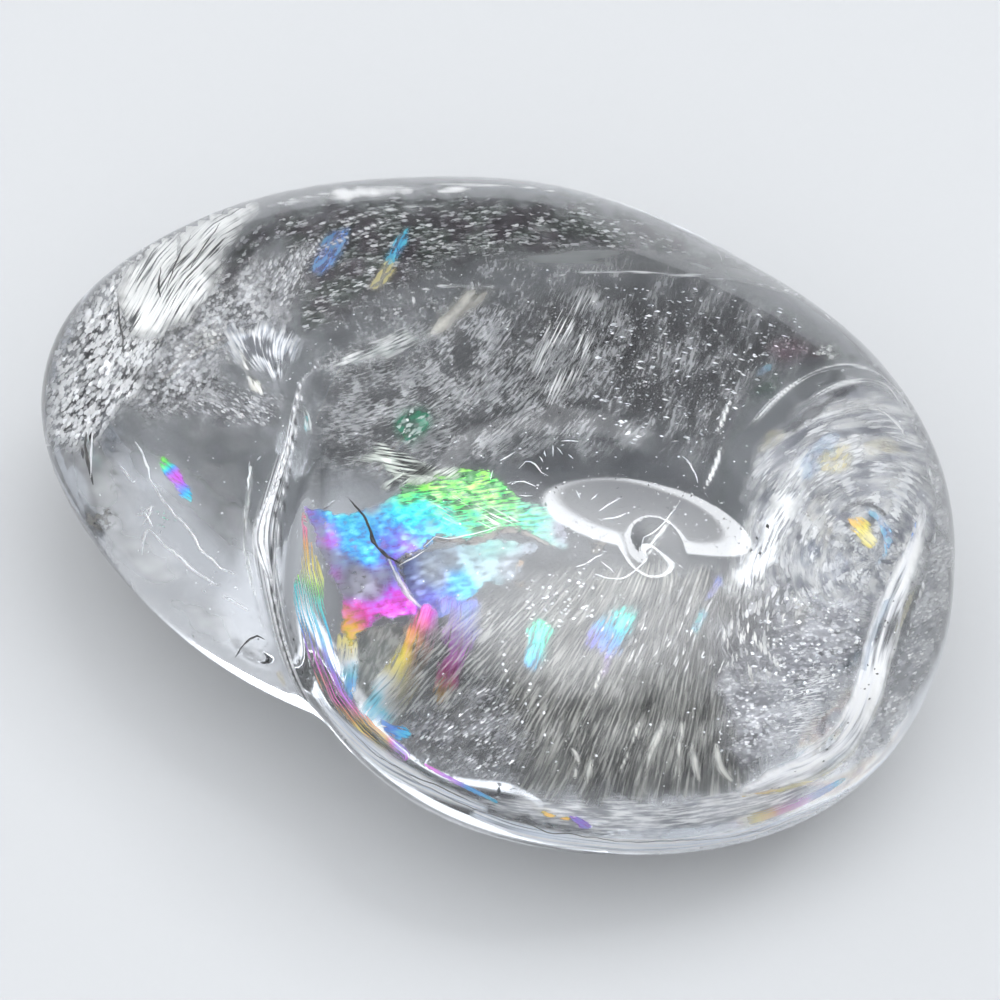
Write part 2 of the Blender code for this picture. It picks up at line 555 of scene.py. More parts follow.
def write_numbers(piece, name, values):
    attribute = piece.data.attributes.new(name, "FLOAT_VECTOR", "POINT")
    attribute.data.foreach_set("vector", np.asarray(values, np.float32).ravel())


FIRST_ORDER, ORDER_SPAN = -0.3, 1.5  # of the colour ramp


def ramp_place(order):
    """Where a film's interference order is on its colour ramp. Yellow is 0.1, magenta 0.3, cyan 0.62."""
    return (order - FIRST_ORDER) / ORDER_SPAN


def film_numbers(pixels, spots, reach=26.0, softness=0.03):
    """The order and strength of a film at each pixel, blended from the spots near it.

    A spot is a place on the film: its two pixel coordinates, its interference order and its strength.
    """
    spots = np.array(spots, float)
    apart = np.linalg.norm(pixels[:, None] - spots[:, :2], axis=-1) / reach
    weights = 1 / (softness + apart**3)
    weights /= weights.sum(1, keepdims=True)
    order, strength = weights @ ramp_place(spots[:, 2]), weights @ spots[:, 3]
    return np.stack([order, strength, np.zeros(len(pixels))], -1)


CRACK_BEND = 22  # pixels from one bend of a crack to the next
CRACK_SWELLS = 9  # along a crack
CRACK_TIP = 0.02  # the share of a crack that each of its tips takes up


def wandering(corners, jitter, seed, spacing=4.0):
    """Points along a broken line of pixels, pushed off it by fractal noise, as a crack runs."""
    corners = np.array(corners, float)
    lengths = np.r_[0, np.cumsum(np.linalg.norm(np.diff(corners, axis=0), axis=1))]
    places = np.linspace(0, lengths[-1], max(3, int(lengths[-1] / spacing)))
    line = np.stack([np.interp(places, lengths, corners[:, axis]) for axis in (0, 1)], -1)
    sample = np.stack([places / CRACK_BEND, np.full(len(places), seed * 3.7), np.zeros(len(places))], -1)
    push = np.stack([rough_noise(sample, 4, seed), rough_noise(sample, 4, seed + 50)], -1)
    return line + push * jitter


def tube(points, radii, sides=6):
    """Rings of points along a line and the faces that join them, pointed at both ends."""
    forward = unit(np.gradient(points, axis=0))
    sideways = unit(np.cross(forward, BACK))
    upward = np.cross(forward, sideways)
    turn = np.arange(sides) / sides * 2 * math.pi
    ring = np.cos(turn)[:, None, None] * sideways + np.sin(turn)[:, None, None] * upward
    rings = (points + ring * radii[:, None]).transpose(1, 0, 2).reshape(-1, 3)
    row, side = np.meshgrid(np.arange(len(points) - 1), np.arange(sides), indexing="ij")
    after = (side + 1) % sides
    faces = np.stack([row, row, row + 1, row + 1], -1) * sides + np.stack([side, after, after, side], -1)
    return rings, faces.reshape(-1, 4)


def cracks(name, material, lines, depth, radius, jitter, seed):
    """One piece of several fine cracks, each a line of pixels, thick in the middle and thin at its ends."""
    points, faces, count = [], [], 0
    for index, corners in enumerate(lines):
        pixels = wandering(corners, jitter, seed + index * 11)
        share = np.linspace(0, 1, len(pixels))
        sample = np.stack([share * CRACK_SWELLS, np.full(len(pixels), index + seed * 1.7), share * 0], -1)
        taper = np.sin(math.pi * np.clip(share, CRACK_TIP, 1 - CRACK_TIP)) ** 0.5
        radii = radius * taper * (1 + 0.5 * noise(sample, seed))
        rings, quads = tube(inside(pixels, depth), radii)
        points.append(rings)
        faces.append(quads + count)
        count += len(rings)
    return quartz_piece(mesh_piece(name, np.concatenate(points), np.concatenate(faces), material))


FLAKE_TIPPING, FLAKE_TURNING = 0.5, 0.25  # off the camera's plane, and off its own right
FLAKE_RISE = 0.2  # of a flake's middle, as a share of half its size


def flakes(name, material, places, sizes, seed, stretch=1.0):
    """One piece of many tiny flat flakes, each four triangles, tipped at random off the camera's plane."""
    rng = np.random.default_rng(seed)
    normals = unit(BACK + rng.normal(size=(len(places), 3)) * FLAKE_TIPPING)
    along = unit(RIGHT + rng.normal(size=(len(places), 3)) * FLAKE_TURNING)
    along = unit(along - (along * normals).sum(1, keepdims=True) * normals)
    across = np.cross(normals, along)
    half = np.asarray(sizes)[:, None] / 2
    swell = rng.uniform(0.5, 1.0, (4, len(places), 1))
    corners = [
        places + along * half * stretch * swell[0],
        places + across * half * swell[1],
        places - along * half * stretch * swell[2],
        places - across * half * swell[3],
    ]
    points = np.stack(corners + [places + normals * half * FLAKE_RISE], 1).reshape(-1, 3)
    first = np.arange(len(places))[:, None] * 5
    faces = np.concatenate([first + np.array((side, (side + 1) % 4, 4)) for side in range(4)])
    return quartz_piece(mesh_piece(name, points, faces, material, smooth=False))


def scattered(outline, count, depths, seed, spare=3):
    """Random points inside the stone, seen within an outline of pixels, from spare times as many tries."""
    rng = np.random.default_rng(seed)
    curve = closed_curve(outline)
    pixels = rng.uniform(curve.min(0), curve.max(0), (count * spare, 2))
    pixels = pixels[depth_in_outline(pixels, curve) > 0][:count]
    return inside(pixels, rng.uniform(*depths, len(pixels)))


def speck_cloud(name, material, outline, count, sizes, depths, seed, stretch=1.6):
    """Small flakes scattered at random, each as large and as deep as a random draw says."""
    places = scattered(outline, count, depths, seed)
    drawn_sizes = np.random.default_rng(seed + 1).uniform(*sizes, len(places))
    flakes(name, material, places, drawn_sizes, seed=seed + 2, stretch=stretch)


# ---------------------------------------------------------------- materials

PITS_PER_METRE, PIT_DEPTH = 5200.0, 0.000003  # of the polish, in metres as shaders are
ABSORBED_TO, ABSORPTION = (0.66, 0.69, 0.73, 1.0), 36.0
# painted shade: the near-black ground of a veil, which shows where a dark sheet paints shade
PAINTED_SHADE_GROUND = ((0.05, 0.05, 0.06), (0.05, 0.05, 0.06))


def quartz_glass():
    """Clear quartz: plain transmission, index and absorption, with fine pits in the polish."""
    material, nodes, output = blank_material("clear_quartz_polished")
    place = nodes.add("ShaderNodeTexCoord").outputs["Object"]
    pits = nodes.smooth(nodes.noise(place, PITS_PER_METRE, 1.0, "3D")[0], 0.66, 0.84)
    bump = nodes.add("ShaderNodeBump", None, Strength=1.0, Distance=PIT_DEPTH, Height=pits)
    shader = nodes.add("ShaderNodeBsdfPrincipled", None, Base_Color=(1.0, 1.0, 1.0, 1.0), Roughness=0.0,
                       IOR=QUARTZ_IOR, Transmission_Weight=1.0, Normal=bump.outputs[0])
    absorb = nodes.add("ShaderNodeVolumeAbsorption", None, Color=ABSORBED_TO, Density=ABSORPTION)
    nodes.feed(shader.outputs[0], output.inputs["Surface"])
    nodes.feed(absorb.outputs[0], output.inputs["Volume"])
    return material


def drawn_out(nodes, flow, length, width, seed):
    """The flow numbers as a texture's place: one unit is this length along the streaks, and width across."""
    shift = (seed * 13.7, seed * 5.1, 0.0)  # so that no two seeds show the same noise
    return nodes.vector("MULTIPLY_ADD", flow, (1 / length, 1 / width, 0.0), shift)


def tipped(nodes, randoms, tilt):
    """The surface's normal, tipped at random."""
    normal = nodes.add("ShaderNodeNewGeometry").outputs["Normal"]
    offset = nodes.vector("MULTIPLY_ADD", randoms, (tilt * 2,) * 3, (-tilt,) * 3)
    return nodes.vector("NORMALIZE", nodes.vector("ADD", normal, offset))


def seen_through(nodes, output, shader, share):
    """Shows the shader where share is 1 and the clear quartz where it is 0."""
    clear = nodes.add("ShaderNodeBsdfTransparent")
    mix = nodes.add("ShaderNodeMixShader", None, Fac=share)
    nodes.feed(clear.outputs[0], mix.inputs[1])
    nodes.feed(shader, mix.inputs[2])
    nodes.feed(mix.outputs[0], output.inputs["Surface"])


GROUND_SHADE = 0.72  # of a veil's ground, which the flecks' own shadows darken
PATCH_WIDTH = 0.7  # of a light or dark patch, as a share of its length


def sheet_material(name, flecks, length, width, strength, colours, metal, roughness, tilt, patch, ground,
                   between, seed):
    """A healed fracture: flecks that catch the light, and a darker ground between them.

    From a texture's place and the patches there, flecks gives how much of a fleck shows, its random
    values and its shine. They are as far apart as length and width say, and as strong as strength says.
    patch is the size of lighter and darker patches, ground is how much of the ground hides what is
    behind it, and between is its two colours.
    """
    material, nodes, output = blank_material(name)
    flow = nodes.add("ShaderNodeAttribute", {"attribute_name": "flow"}).outputs["Vector"]
    edge = nodes.smooth(nodes.split(flow)[2], 0.0, 1.0)
    place = drawn_out(nodes, flow, length, width, seed)
    patches = nodes.noise(drawn_out(nodes, flow, patch, patch * PATCH_WIDTH, seed + 4.0), detail=1.0)[0]
    lit, randoms, shine = flecks(nodes, place, patches)
    shadows = [tuple(part * GROUND_SHADE for part in colour) for colour in between]
    shade = nodes.mix_colour(nodes.smooth(patches, 0.42, 0.58), *shadows)
    shade = nodes.mix_colour(lit, shade, nodes.mix_colour(shine, *colours))
    share = nodes.math("MULTIPLY", nodes.smooth(lit, 0.0, 1.0, ground, strength), edge)
    shader = nodes.add("ShaderNodeBsdfPrincipled", None, Base_Color=shade, Roughness=roughness,
                       Metallic=nodes.math("MULTIPLY", lit, metal), Normal=tipped(nodes, randoms, tilt))
    seen_through(nodes, output, shader.outputs[0], share)
    return material


def veil(name, length, width, cover, strength=0.9, colours=((0.75, 0.78, 0.82), (1.0, 1.0, 1.0)),
         metal=0.0, roughness=0.35, tilt=0.5, patch=3.0, ground=0.0, between=PAINTED_SHADE_GROUND, sharp=0.2, spread=0.6,
         detail=3.5, seed=0.0):
    """A veil of drawn-out streaks over cover of it, and of finer ones between them.

    spread is how much more of them the lighter patches have, and sharp is how soft their edges are.
    """

    def streaks(nodes, place, patches):
        fine = nodes.noise(place, detail=detail)
        more = nodes.math("MULTIPLY", nodes.math("SUBTRACT", patches, 0.5), spread)
        level = nodes.math("ADD", fine[0], more)
        start = 0.5 + (0.5 - cover) * 0.5
        return nodes.smooth(level, start - sharp, start + sharp), fine[1], nodes.smooth(fine[0], 0.35, 0.65)

    return sheet_material(name, streaks, length, width, strength, colours, metal, roughness, tilt, patch,
                          ground, between, seed)


FLECK_BEND, FLECK_BEND_SCALE = 0.9, 1.7  # what makes a fleck's outline ragged
LEAST_FLECK, FLECK_GROWTH = 0.55, 0.9  # of the size asked for


def scales(name, length, width, cover, strength=1.0, colours=((0.4, 0.41, 0.44), (1.0, 1.0, 1.0)),
           metal=0.6, roughness=0.25, tilt=0.5, patch=2.5, ground=0.4, between=PAINTED_SHADE_GROUND, size=0.42, sharp=0.16,
           spread=1.4, faint=0.35, seed=0.0):
    """A veil of separate flat flecks over cover of it, each tipped its own way, so that it glitters.

    size is how much of its own cell a fleck fills, spread and sharp are as in veil, and the faintest
    flecks show the share faint of their strength.
    """

    def flecks(nodes, place, patches):
        finer = nodes.vector("MULTIPLY", place, (FLECK_BEND_SCALE, FLECK_BEND_SCALE, 0.0))
        ragged = nodes.noise(finer, detail=1.0)[1]
        bent = nodes.vector("MULTIPLY_ADD", ragged, (FLECK_BEND, FLECK_BEND, 0.0), place)
        away, randoms = nodes.cells(bent)
        chance, shine, bulk = nodes.split(randoms)
        limit = nodes.math("ADD", nodes.math("MULTIPLY", patches, spread), cover - spread / 2)
        there = nodes.smooth(nodes.math("SUBTRACT", limit, chance), -0.04, 0.04)
        reach = nodes.math("MULTIPLY_ADD", bulk, size * FLECK_GROWTH, size * LEAST_FLECK)
        fleck = nodes.smooth(nodes.math("SUBTRACT", away, reach), -sharp, sharp, 1.0, 0.0)
        seen = nodes.math("MULTIPLY_ADD", nodes.math("POWER", shine, 2.0), 1.0 - faint, faint)
        return nodes.math("MULTIPLY", nodes.math("MULTIPLY", there, fleck), seen), randoms, shine

    return sheet_material(name, flecks, length, width, strength, colours, metal, roughness, tilt, patch,
                          ground, between, seed)


INTERFERENCE = (
    (-0.28, (0.08, 0.35, 1.00)),
    (-0.18, (0.20, 0.80, 1.00)),
    (-0.08, (0.92, 1.00, 1.00)),
    (0.00, (1.00, 0.96, 0.70)),
    (0.10, (1.00, 0.82, 0.08)),
    (0.20, (1.00, 0.42, 0.05)),
    (0.30, (1.00, 0.10, 0.55)),
    (0.38, (0.85, 0.10, 0.95)),
    (0.46, (0.35, 0.20, 1.00)),
    (0.54, (0.08, 0.35, 1.00)),
    (0.62, (0.02, 0.75, 1.00)),
    (0.70, (0.05, 0.90, 0.60)),
    (0.78, (0.15, 0.95, 0.15)),
    (0.86, (0.50, 1.00, 0.05)),
    (0.95, (0.90, 1.00, 0.20)),
    (1.02, (1.00, 0.82, 0.08)),
    (1.10, (1.00, 0.42, 0.05)),
    (1.20, (1.00, 0.10, 0.55)),
)


SHEEN = (0.9, 0.95, 1.0)  # of a film's brightest streaks
VEIN_LENGTH, VEIN_WIDTH, VEIN_COLOUR = 0.9, 0.11, (0.02, 0.16, 0.04)
GREEN_FROM, GREEN_TO = 0.68, 0.74  # the interference orders over which a film turns green
FILM_ROUGHNESS = 0.35


def film(name, length, width, metal=0.3, wander=0.08, gaps=0.30, gap_share=0.4, ground=0.0,
         ground_colour=(0.36, 0.35, 0.42), veins=0.0, tilt=0.25, seed=0.0):
    """An open fracture so thin that it shows interference colours, from the numbers its sheet carries.

    wander is how far its streaks bend its colours. Where its colour is weak, the ground share of a
    plain colour shows. Fine streaks leave gap_share of it in their gaps, and veins darken it where it
    is green.
    """
    material, nodes, output = blank_material(name)
    flow = nodes.add("ShaderNodeAttribute", {"attribute_name": "flow"}).outputs["Vector"]
    edge = nodes.smooth(nodes.split(flow)[2], 0.0, 1.0)
    numbers = nodes.add("ShaderNodeAttribute", {"attribute_name": "film"}).outputs["Vector"]
    thickness, strength, _ = nodes.split(numbers)
    streaks = nodes.noise(drawn_out(nodes, flow, length, width, seed), detail=3.0)
    bend = nodes.math("MULTIPLY", nodes.math("SUBTRACT", streaks[0], 0.5), wander * 1.4)
    stops = [(ramp_place(order), colour) for order, colour in INTERFERENCE]
    colour = nodes.ramp(nodes.math("ADD", thickness, bend), stops)
    if veins:
        vein_noise = nodes.noise(drawn_out(nodes, flow, VEIN_LENGTH, VEIN_WIDTH, seed + 2.0), detail=4.0)[0]
        green = nodes.smooth(thickness, ramp_place(GREEN_FROM), ramp_place(GREEN_TO))
        green = nodes.math("MULTIPLY", green, veins)
        vein = nodes.math("MULTIPLY", nodes.smooth(vein_noise, 0.44, 0.54), green)
        colour = nodes.mix_colour(vein, colour, VEIN_COLOUR)
    colour = nodes.mix_colour(nodes.smooth(streaks[0], 0.4, 0.8, 0.0, 0.2), colour, SHEEN)
    colour = nodes.mix_colour(nodes.smooth(strength, 0.05, 0.6), ground_colour, colour)
    gap = nodes.smooth(streaks[0], gaps, gaps + 0.18, gap_share, 1.0)
    worn = nodes.smooth(nodes.math("ADD", edge, nodes.math("MULTIPLY", streaks[0], 0.9)), 0.42, 1.2)
    worn = nodes.math("MULTIPLY", worn, nodes.smooth(edge, 0.0, 0.3))
    shown = nodes.smooth(strength, 0.0, 0.9, ground, 1.0)
    share = nodes.math("MULTIPLY", shown, nodes.math("MULTIPLY", worn, gap))
    shader = nodes.add("ShaderNodeBsdfPrincipled", None, Base_Color=colour, Metallic=metal,
                       Roughness=FILM_ROUGHNESS, Normal=tipped(nodes, streaks[1], tilt))
    seen_through(nodes, output, shader.outputs[0], share)
    return material


MOTTLES_PER_METRE = 2500.0


def plain_inclusion(name, colour, darker, roughness, metal=0.0):
    """A solid inclusion or the wall of a crack, mottled between two colours."""
    material, nodes, output = blank_material(name)
    place = nodes.add("ShaderNodeTexCoord").outputs["Object"]
    mottle = nodes.noise(place, MOTTLES_PER_METRE, 3.0, "3D")[0]
    shade = nodes.mix_colour(nodes.smooth(mottle, 0.4, 0.65), darker, colour)
    shader = nodes.add("ShaderNodeBsdfPrincipled", None, Base_Color=shade, Metallic=metal,
                       Roughness=nodes.smooth(mottle, 0.3, 0.7, roughness * 0.7, roughness * 1.3))
    nodes.feed(shader.outputs[0], output.inputs["Surface"])
    return material


# ---------------------------------------------------------------- the stone's surface

ROUGH_SIDE = -BACK  # the far side, which is less polished than the near one
RELIEF_DEPTH, RELIEF_VARIES = 0.02, 0.4
DIMPLE_SIZE, RIPPLE_SIZES = 1.3, np.array((2.6, 0.7, 1.4))
SKIN = 0.025  # how far the whole surface is drawn in, so that the relief stays inside the CAD's box


def relief(points, directions):
    """Fine work of the surface: slow dimples and drawn-out ripples, on the far side and below."""
    far_side = smoothstep(directions @ ROUGH_SIDE, 0.05, 0.5)
    dimples = rough_noise(points / DIMPLE_SIZE, 3, seed=3)
    ripples = rough_noise(points / RIPPLE_SIZES, 3, seed=21)
    height = np.clip(0.5 + RELIEF_VARIES * dimples + RELIEF_VARIES * ripples, 0, None)
    return RELIEF_DEPTH * far_side * height


def stone_surface():
    points = CORE + SMOOTH_DIRECTIONS * SMOOTH_RADII[:, None]
    points -= SMOOTH_DIRECTIONS * (SKIN + relief(points, SMOOTH_DIRECTIONS))[:, None]
    points[:, 2] = (points[:, 2] + np.sqrt(points[:, 2] ** 2 + FACET_ROUNDING**2)) / 2
    return points + SHIFT


stone = mesh_piece("quartz_stone", stone_surface(), SURFACE_QUADS, quartz_glass())
quartz_piece(stone, "clear_quartz")


# ---------------------------------------------------------------- what the inclusions share

# The first numbers of a veil, of scales and of a film are the length and the width of a streak or fleck
# in millimetres. The next ones of a veil and of scales are its cover and, where it is said, its strength.
# A row of spots has two pixel coordinates, an interference order and a strength.

# Points of the picture, in its pixels, that streaks run towards or round.
BURST_HUB, FIBRE_HUB = (279, 398), (760, 340)
BACK_HUB, SWIRL_HUB, WHITE_BAND_HUB, PLEATS_HUB = (319, 201), (874, 560), (1010, 640), (960, 640)
# Lines of the picture that streaks run beside.
FROST_RUN = ((262, 198), (215, 228), (175, 270), (135, 335))
BACK_RUN = ((280, 262), (400, 236), (520, 226), (640, 240), (710, 260))
ARCS_RUN = ((428, 600), (414, 640), (396, 680), (370, 715))
MAGENTA_RUN = ((468, 600), (460, 640), (438, 700))

# ---------------------------------------------------------------- inside the left lobe

SILVER, WHITE = ((0.42, 0.43, 0.46), (1.0, 1.0, 1.0)), ((0.8, 0.81, 0.84), (1.0, 1.0, 1.0))
DUSK = ((0.04, 0.04, 0.045), (0.07, 0.065, 0.075))
STONE_GREY = ((0.16, 0.16, 0.17), (0.28, 0.28, 0.29))

HAMMERED = scales(
    "frost_hammered", 0.28, 0.12, 1.5, colours=((0.9, 0.91, 0.92), (1, 1, 1)), metal=0.12, roughness=0.3,
    tilt=0.7, ground=0.9, between=((0.1, 0.1, 0.11), (0.4, 0.41, 0.43)), patch=1.4, spread=0.8, size=0.56,
    sharp=0.14, faint=0.75, seed=1,
)
sheet(
    "frost_crust_left", HAMMERED, depth=0.8, flow=straight(56), fade=1.1, ragged=0.4, seed=1,
    outline=((36, 446), (44, 366), (66, 306), (98, 262), (140, 226), (185, 225), (190, 300), (172, 350),
             (146, 396), (120, 432), (80, 462)),
)
VEINED = veil(
    "frost_veined", 1.9, 0.1, 0.7, 1, colours=((0.8, 0.81, 0.8), (1, 1, 0.98)), metal=0.05, tilt=0.8,
    ground=0.9, between=((0.05, 0.05, 0.055), (0.24, 0.25, 0.26)), patch=1.6, spread=0.25, sharp=0.08,
    detail=5, seed=1.5,
)
sheet(
    "frost_sheet_top", VEINED, depth=0.7, flow=beside(FROST_RUN), fade=0.9, ragged=0.4, seed=61,
    outline=((108, 290), (128, 258), (150, 232), (200, 208), (258, 196), (270, 204), (244, 236),
             (226, 268), (212, 300), (184, 330), (150, 346), (118, 330)),
)

SPECKLE = scales(
    "speckled_veil", 0.2, 0.14, 1.6, colours=((0.8, 0.81, 0.83), (1, 1, 1)), metal=0.1, tilt=0.75,
    ground=0.8, between=((0.22, 0.22, 0.23), (0.66, 0.66, 0.68)), patch=1.5, size=0.48, sharp=0.2, seed=2,
)
sheet(
    "speckled_veil_left", SPECKLE, depth=2.6, flow=straight(40), fade=1.7, ragged=0.5, seed=2,
    outline=((96, 330), (140, 280), (190, 258), (225, 246), (262, 244), (304, 258), (308, 300), (296, 336),
             (262, 340), (238, 362), (226, 400), (186, 425), (140, 425), (98, 400)),
)
ASH = scales(
    "ashen_veil", 0.28, 0.11, 1, colours=((0.7, 0.71, 0.73), (1, 1, 1)), metal=0.15, tilt=0.6, ground=0.6,
    between=((0.18, 0.18, 0.19), (0.42, 0.42, 0.44)), patch=1.3, size=0.42, sharp=0.2, seed=2.5,
)
sheet(
    "ashen_veil_left", ASH, depth=3, flow=straight(-30), fade=1.5, ragged=0.5, seed=62,
    outline=((128, 395), (160, 378), (200, 362), (250, 372), (292, 385), (286, 425), (262, 446),
             (210, 440), (168, 436), (134, 446)),
)
BOTTLE = scales(
    "dark_green_veil", 0.3, 0.15, 0.34, colours=SILVER, metal=0.3, ground=0.85,
    between=((0.02, 0.035, 0.03), (0.05, 0.04, 0.055)), patch=1, size=0.4, seed=2.8,
)
sheet(
    "dark_green_patch_left", BOTTLE, depth=2.2, flow=straight(38), fade=0.7, seed=63,
    outline=((205, 268), (222, 248), (250, 226), (290, 214), (316, 212), (300, 232), (270, 250),
             (248, 272), (222, 290)),
)
sheet(
    "pale_web_left", ASH, depth=2, flow=straight(60), fade=0.8, seed=64,
    outline=((248, 262), (270, 248), (300, 232), (322, 236), (314, 262), (304, 300), (290, 330),
             (268, 318), (262, 290)),
)

BURST = veil(
    "burst_veil", 0.9, 0.11, 0.48, 0.9, colours=((0.62, 0.66, 0.72), (1, 1, 1)), metal=0.1, ground=0.7,
    between=((0.22, 0.23, 0.26), (0.56, 0.59, 0.66)), patch=0.9, spread=1, sharp=0.15, detail=5, seed=3,
)
sheet(
    "burst_by_crease", BURST, depth=2, flow=towards(BURST_HUB), fade=1.2, ragged=0.5, wobble=0.3, cell=4,
    seed=3,
    outline=((214, 330), (236, 316), (262, 308), (296, 316), (310, 340), (298, 376), (284, 402),
             (270, 400), (250, 384), (228, 360)),
)
CREAM = veil(
    "cream_flake", 0.7, 0.12, 0.78, 0.95, colours=((0.9, 0.87, 0.76), (1, 1, 0.97)), metal=0.15, patch=0.6,
    detail=4, seed=3.3,
)
CREAM_BEADS = scales(
    "cream_beads", 0.22, 0.15, 1.2, colours=((0.8, 0.8, 0.76), (1, 1, 0.97)), metal=0.1, ground=0.3,
    between=((0.2, 0.2, 0.2), (0.4, 0.4, 0.4)), patch=0.8, size=0.5, seed=3.6,
)
sheet(
    "cream_flake_left", CREAM, depth=1.6, flow=straight(-56), fade=0.35, ragged=0.15, cell=3, seed=65,
    outline=((236, 352), (244, 350), (256, 372), (268, 396), (258, 396), (244, 380)),
)
sheet(
    "bright_flakes_left", CREAM_BEADS, depth=1.8, flow=straight(-40), fade=0.4, ragged=0.3, cell=3, seed=66,
    outline=((176, 352), (190, 336), (206, 324), (220, 330), (230, 350), (228, 368), (214, 360),
             (202, 346), (188, 358), (178, 366)),
)
sheet(
    "white_spot_left", CREAM_BEADS, depth=1.2, fade=0.25, ragged=0.1, cell=3, seed=67,
    outline=((204, 252), (214, 248), (220, 258), (216, 272), (206, 272)),
)

HAZE = veil(
    "milky_haze", 3.4, 2, 0.9, 0.5, colours=((0.6, 0.6, 0.59), (0.86, 0.86, 0.86)), roughness=0.6, tilt=0.1,
    patch=6, sharp=0.45, detail=2, seed=4,
)
sheet(
    "milky_window", HAZE, depth=3.4, fade=1.8, crumple=0.05, seed=4,
    outline=((46, 440), (60, 395), (110, 420), (140, 470), (160, 520), (200, 560), (235, 600), (262, 640),
             (284, 664), (300, 705), (240, 680), (188, 650), (138, 610), (90, 560), (60, 508)),
)
SHADE = veil(
    "grey_shade", 2, 1.4, 0.9, 0.5, colours=((0.14, 0.14, 0.14), (0.24, 0.24, 0.24)), roughness=0.7,
    tilt=0.1, patch=5, sharp=0.4, seed=4.5,
)
sheet(
    "grey_shade_left", SHADE, depth=4, fade=2, seed=68,
    outline=((165, 400), (215, 395), (270, 400), (286, 430), (276, 475), (262, 520), (256, 570),
             (236, 590), (205, 560), (180, 520), (165, 460)),
)
# A mid-grey band over the edge between the window's brighter and darker parts, which the lighting makes:
# painted half light that softens that edge.
HALF_LIGHT_BAND = veil(
    "painted_half_light", 5, 3.5, 1.1, 0.72, colours=((0.46, 0.47, 0.48), (0.6, 0.61, 0.62)), roughness=0.7,
    tilt=0.1, patch=5, sharp=0.45, detail=1, seed=4.6,
)
strip(
    "painted_half_light_left", HALF_LIGHT_BAND, depth=4.6, fade=1.3, ragged=0.3, cell=6, seed=150,
    line=((96, 436), (135, 458), (185, 488), (235, 524), (268, 560)),
    widths=(20, 56, 66, 66, 30),
)
SMUDGE = veil(
    "brown_smudge", 0.35, 0.28, 0.5, 0.85, colours=((0.1, 0.095, 0.085), (0.2, 0.19, 0.17)), roughness=0.7,
    patch=0.7, sharp=0.12, seed=4.7,
)
sheet(
    "brown_smudge_left", SMUDGE, depth=0.8, fade=0.3, ragged=0.2, cell=3, seed=69,
    outline=((76, 512), (88, 502), (98, 508), (108, 502), (116, 514), (108, 530), (94, 534), (80, 526)),
)
sheet(
    "grey_smudge_left", SMUDGE, depth=1.5, fade=0.3, ragged=0.15, cell=3, seed=70,
    outline=((108, 474), (114, 469), (123, 476), (122, 488), (113, 492), (108, 484)),
)

# ---------------------------------------------------------------- the back strip and the upper middle

# The back strip's veil has a near-black ground: painted shade, with faint plum and bottle-green tints.
PLUM_BOTTLE = ((0.035, 0.022, 0.034), (0.018, 0.034, 0.022))
DARK_FLECKS = scales(
    "dark_flecked_veil", 0.34, 0.11, 0.72, colours=((0.5, 0.52, 0.54), (1, 1, 1)), metal=0.25, ground=0.88,
    between=PLUM_BOTTLE, patch=1.6, size=0.38, sharp=0.2, faint=0.12, seed=5,
)
sheet(
    "dark_veil_back", DARK_FLECKS, depth=2, flow=beside(BACK_RUN), fade=1.2, ragged=0.5, seed=5,
    outline=((270, 214), (320, 196), (400, 188), (480, 186), (560, 192), (640, 206), (715, 236),
             (750, 270), (660, 264), (560, 260), (480, 266), (430, 278), (390, 296), (355, 318),
             (316, 340), (292, 330), (286, 270)),
)
ROW = scales(
    "row_of_flakes", 0.45, 0.14, 0.8, colours=WHITE, metal=0.3, tilt=0.3, ground=0, patch=1.5, size=0.42,
    seed=5.2,
)
strip(
    "flake_row_back", ROW, depth=1.6, fade=0.15, seed=71,
    line=((425, 250), (470, 244), (520, 240), (560, 242), (600, 244), (640, 250)),
    widths=(7, 8, 9, 10, 9, 6),
)
# White glints under the top rim: painted highlights, where a light is reflected at the rim.
GLINT = veil("white_glint", 3, 0.3, 1.1, 1, colours=((1, 1, 1), (1, 1, 1)), patch=1.2, sharp=0.3, seed=5.5)
strip(
    "glint_back_left", GLINT, depth=0.5, fade=0.3, ragged=0.15, crumple=0.02, seed=50,
    line=((262, 206), (300, 201), (340, 195), (380, 191), (420, 190)),
    widths=(4, 10, 17, 15, 6),
)
strip(
    "glint_back_right", GLINT, depth=0.5, ragged=0.04, crumple=0.02, seed=51,
    line=((436, 192), (455, 189), (480, 190)),
    widths=(4, 8, 4),
)

FINE = veil(
    "fine_fibres", 0.5, 0.1, 0.38, 0.75, colours=((0.4, 0.41, 0.42), (1, 1, 1)), metal=0.1, ground=0.5,
    between=((0.07, 0.07, 0.075), (0.16, 0.16, 0.165)), patch=2.4, spread=1.1, sharp=0.16, detail=5, seed=6,
)
sheet(
    "fibre_veil_middle", FINE, depth=6, bulge=1.5, flow=round_about(BACK_HUB), fade=3, ragged=0.8, seed=6,
    outline=((300, 400), (322, 350), (360, 318), (410, 296), (480, 276), (560, 266), (640, 272),
             (670, 320), (650, 390), (610, 430), (560, 465), (490, 480), (420, 478), (360, 490),
             (310, 490), (292, 450)),
)
DASHES = scales(
    "dashed_veil", 0.62, 0.1, 0.62, colours=WHITE, metal=0.4, tilt=0.4, ground=0.25, between=DUSK, patch=1,
    size=0.38, seed=7,
)
sheet(
    "dashed_veil_diagonal", DASHES, depth=4.5, flow=straight(52), fade=0.9, seed=7,
    outline=((455, 395), (468, 360), (492, 320), (520, 290), (545, 285), (530, 320), (508, 360),
             (500, 395), (475, 412)),
)
sheet(
    "dashed_veil_below", DASHES, depth=5, flow=straight(40), fade=1.4, seed=72,
    outline=((395, 400), (430, 372), (470, 365), (500, 380), (490, 412), (455, 440), (420, 452), (400, 430)),
)
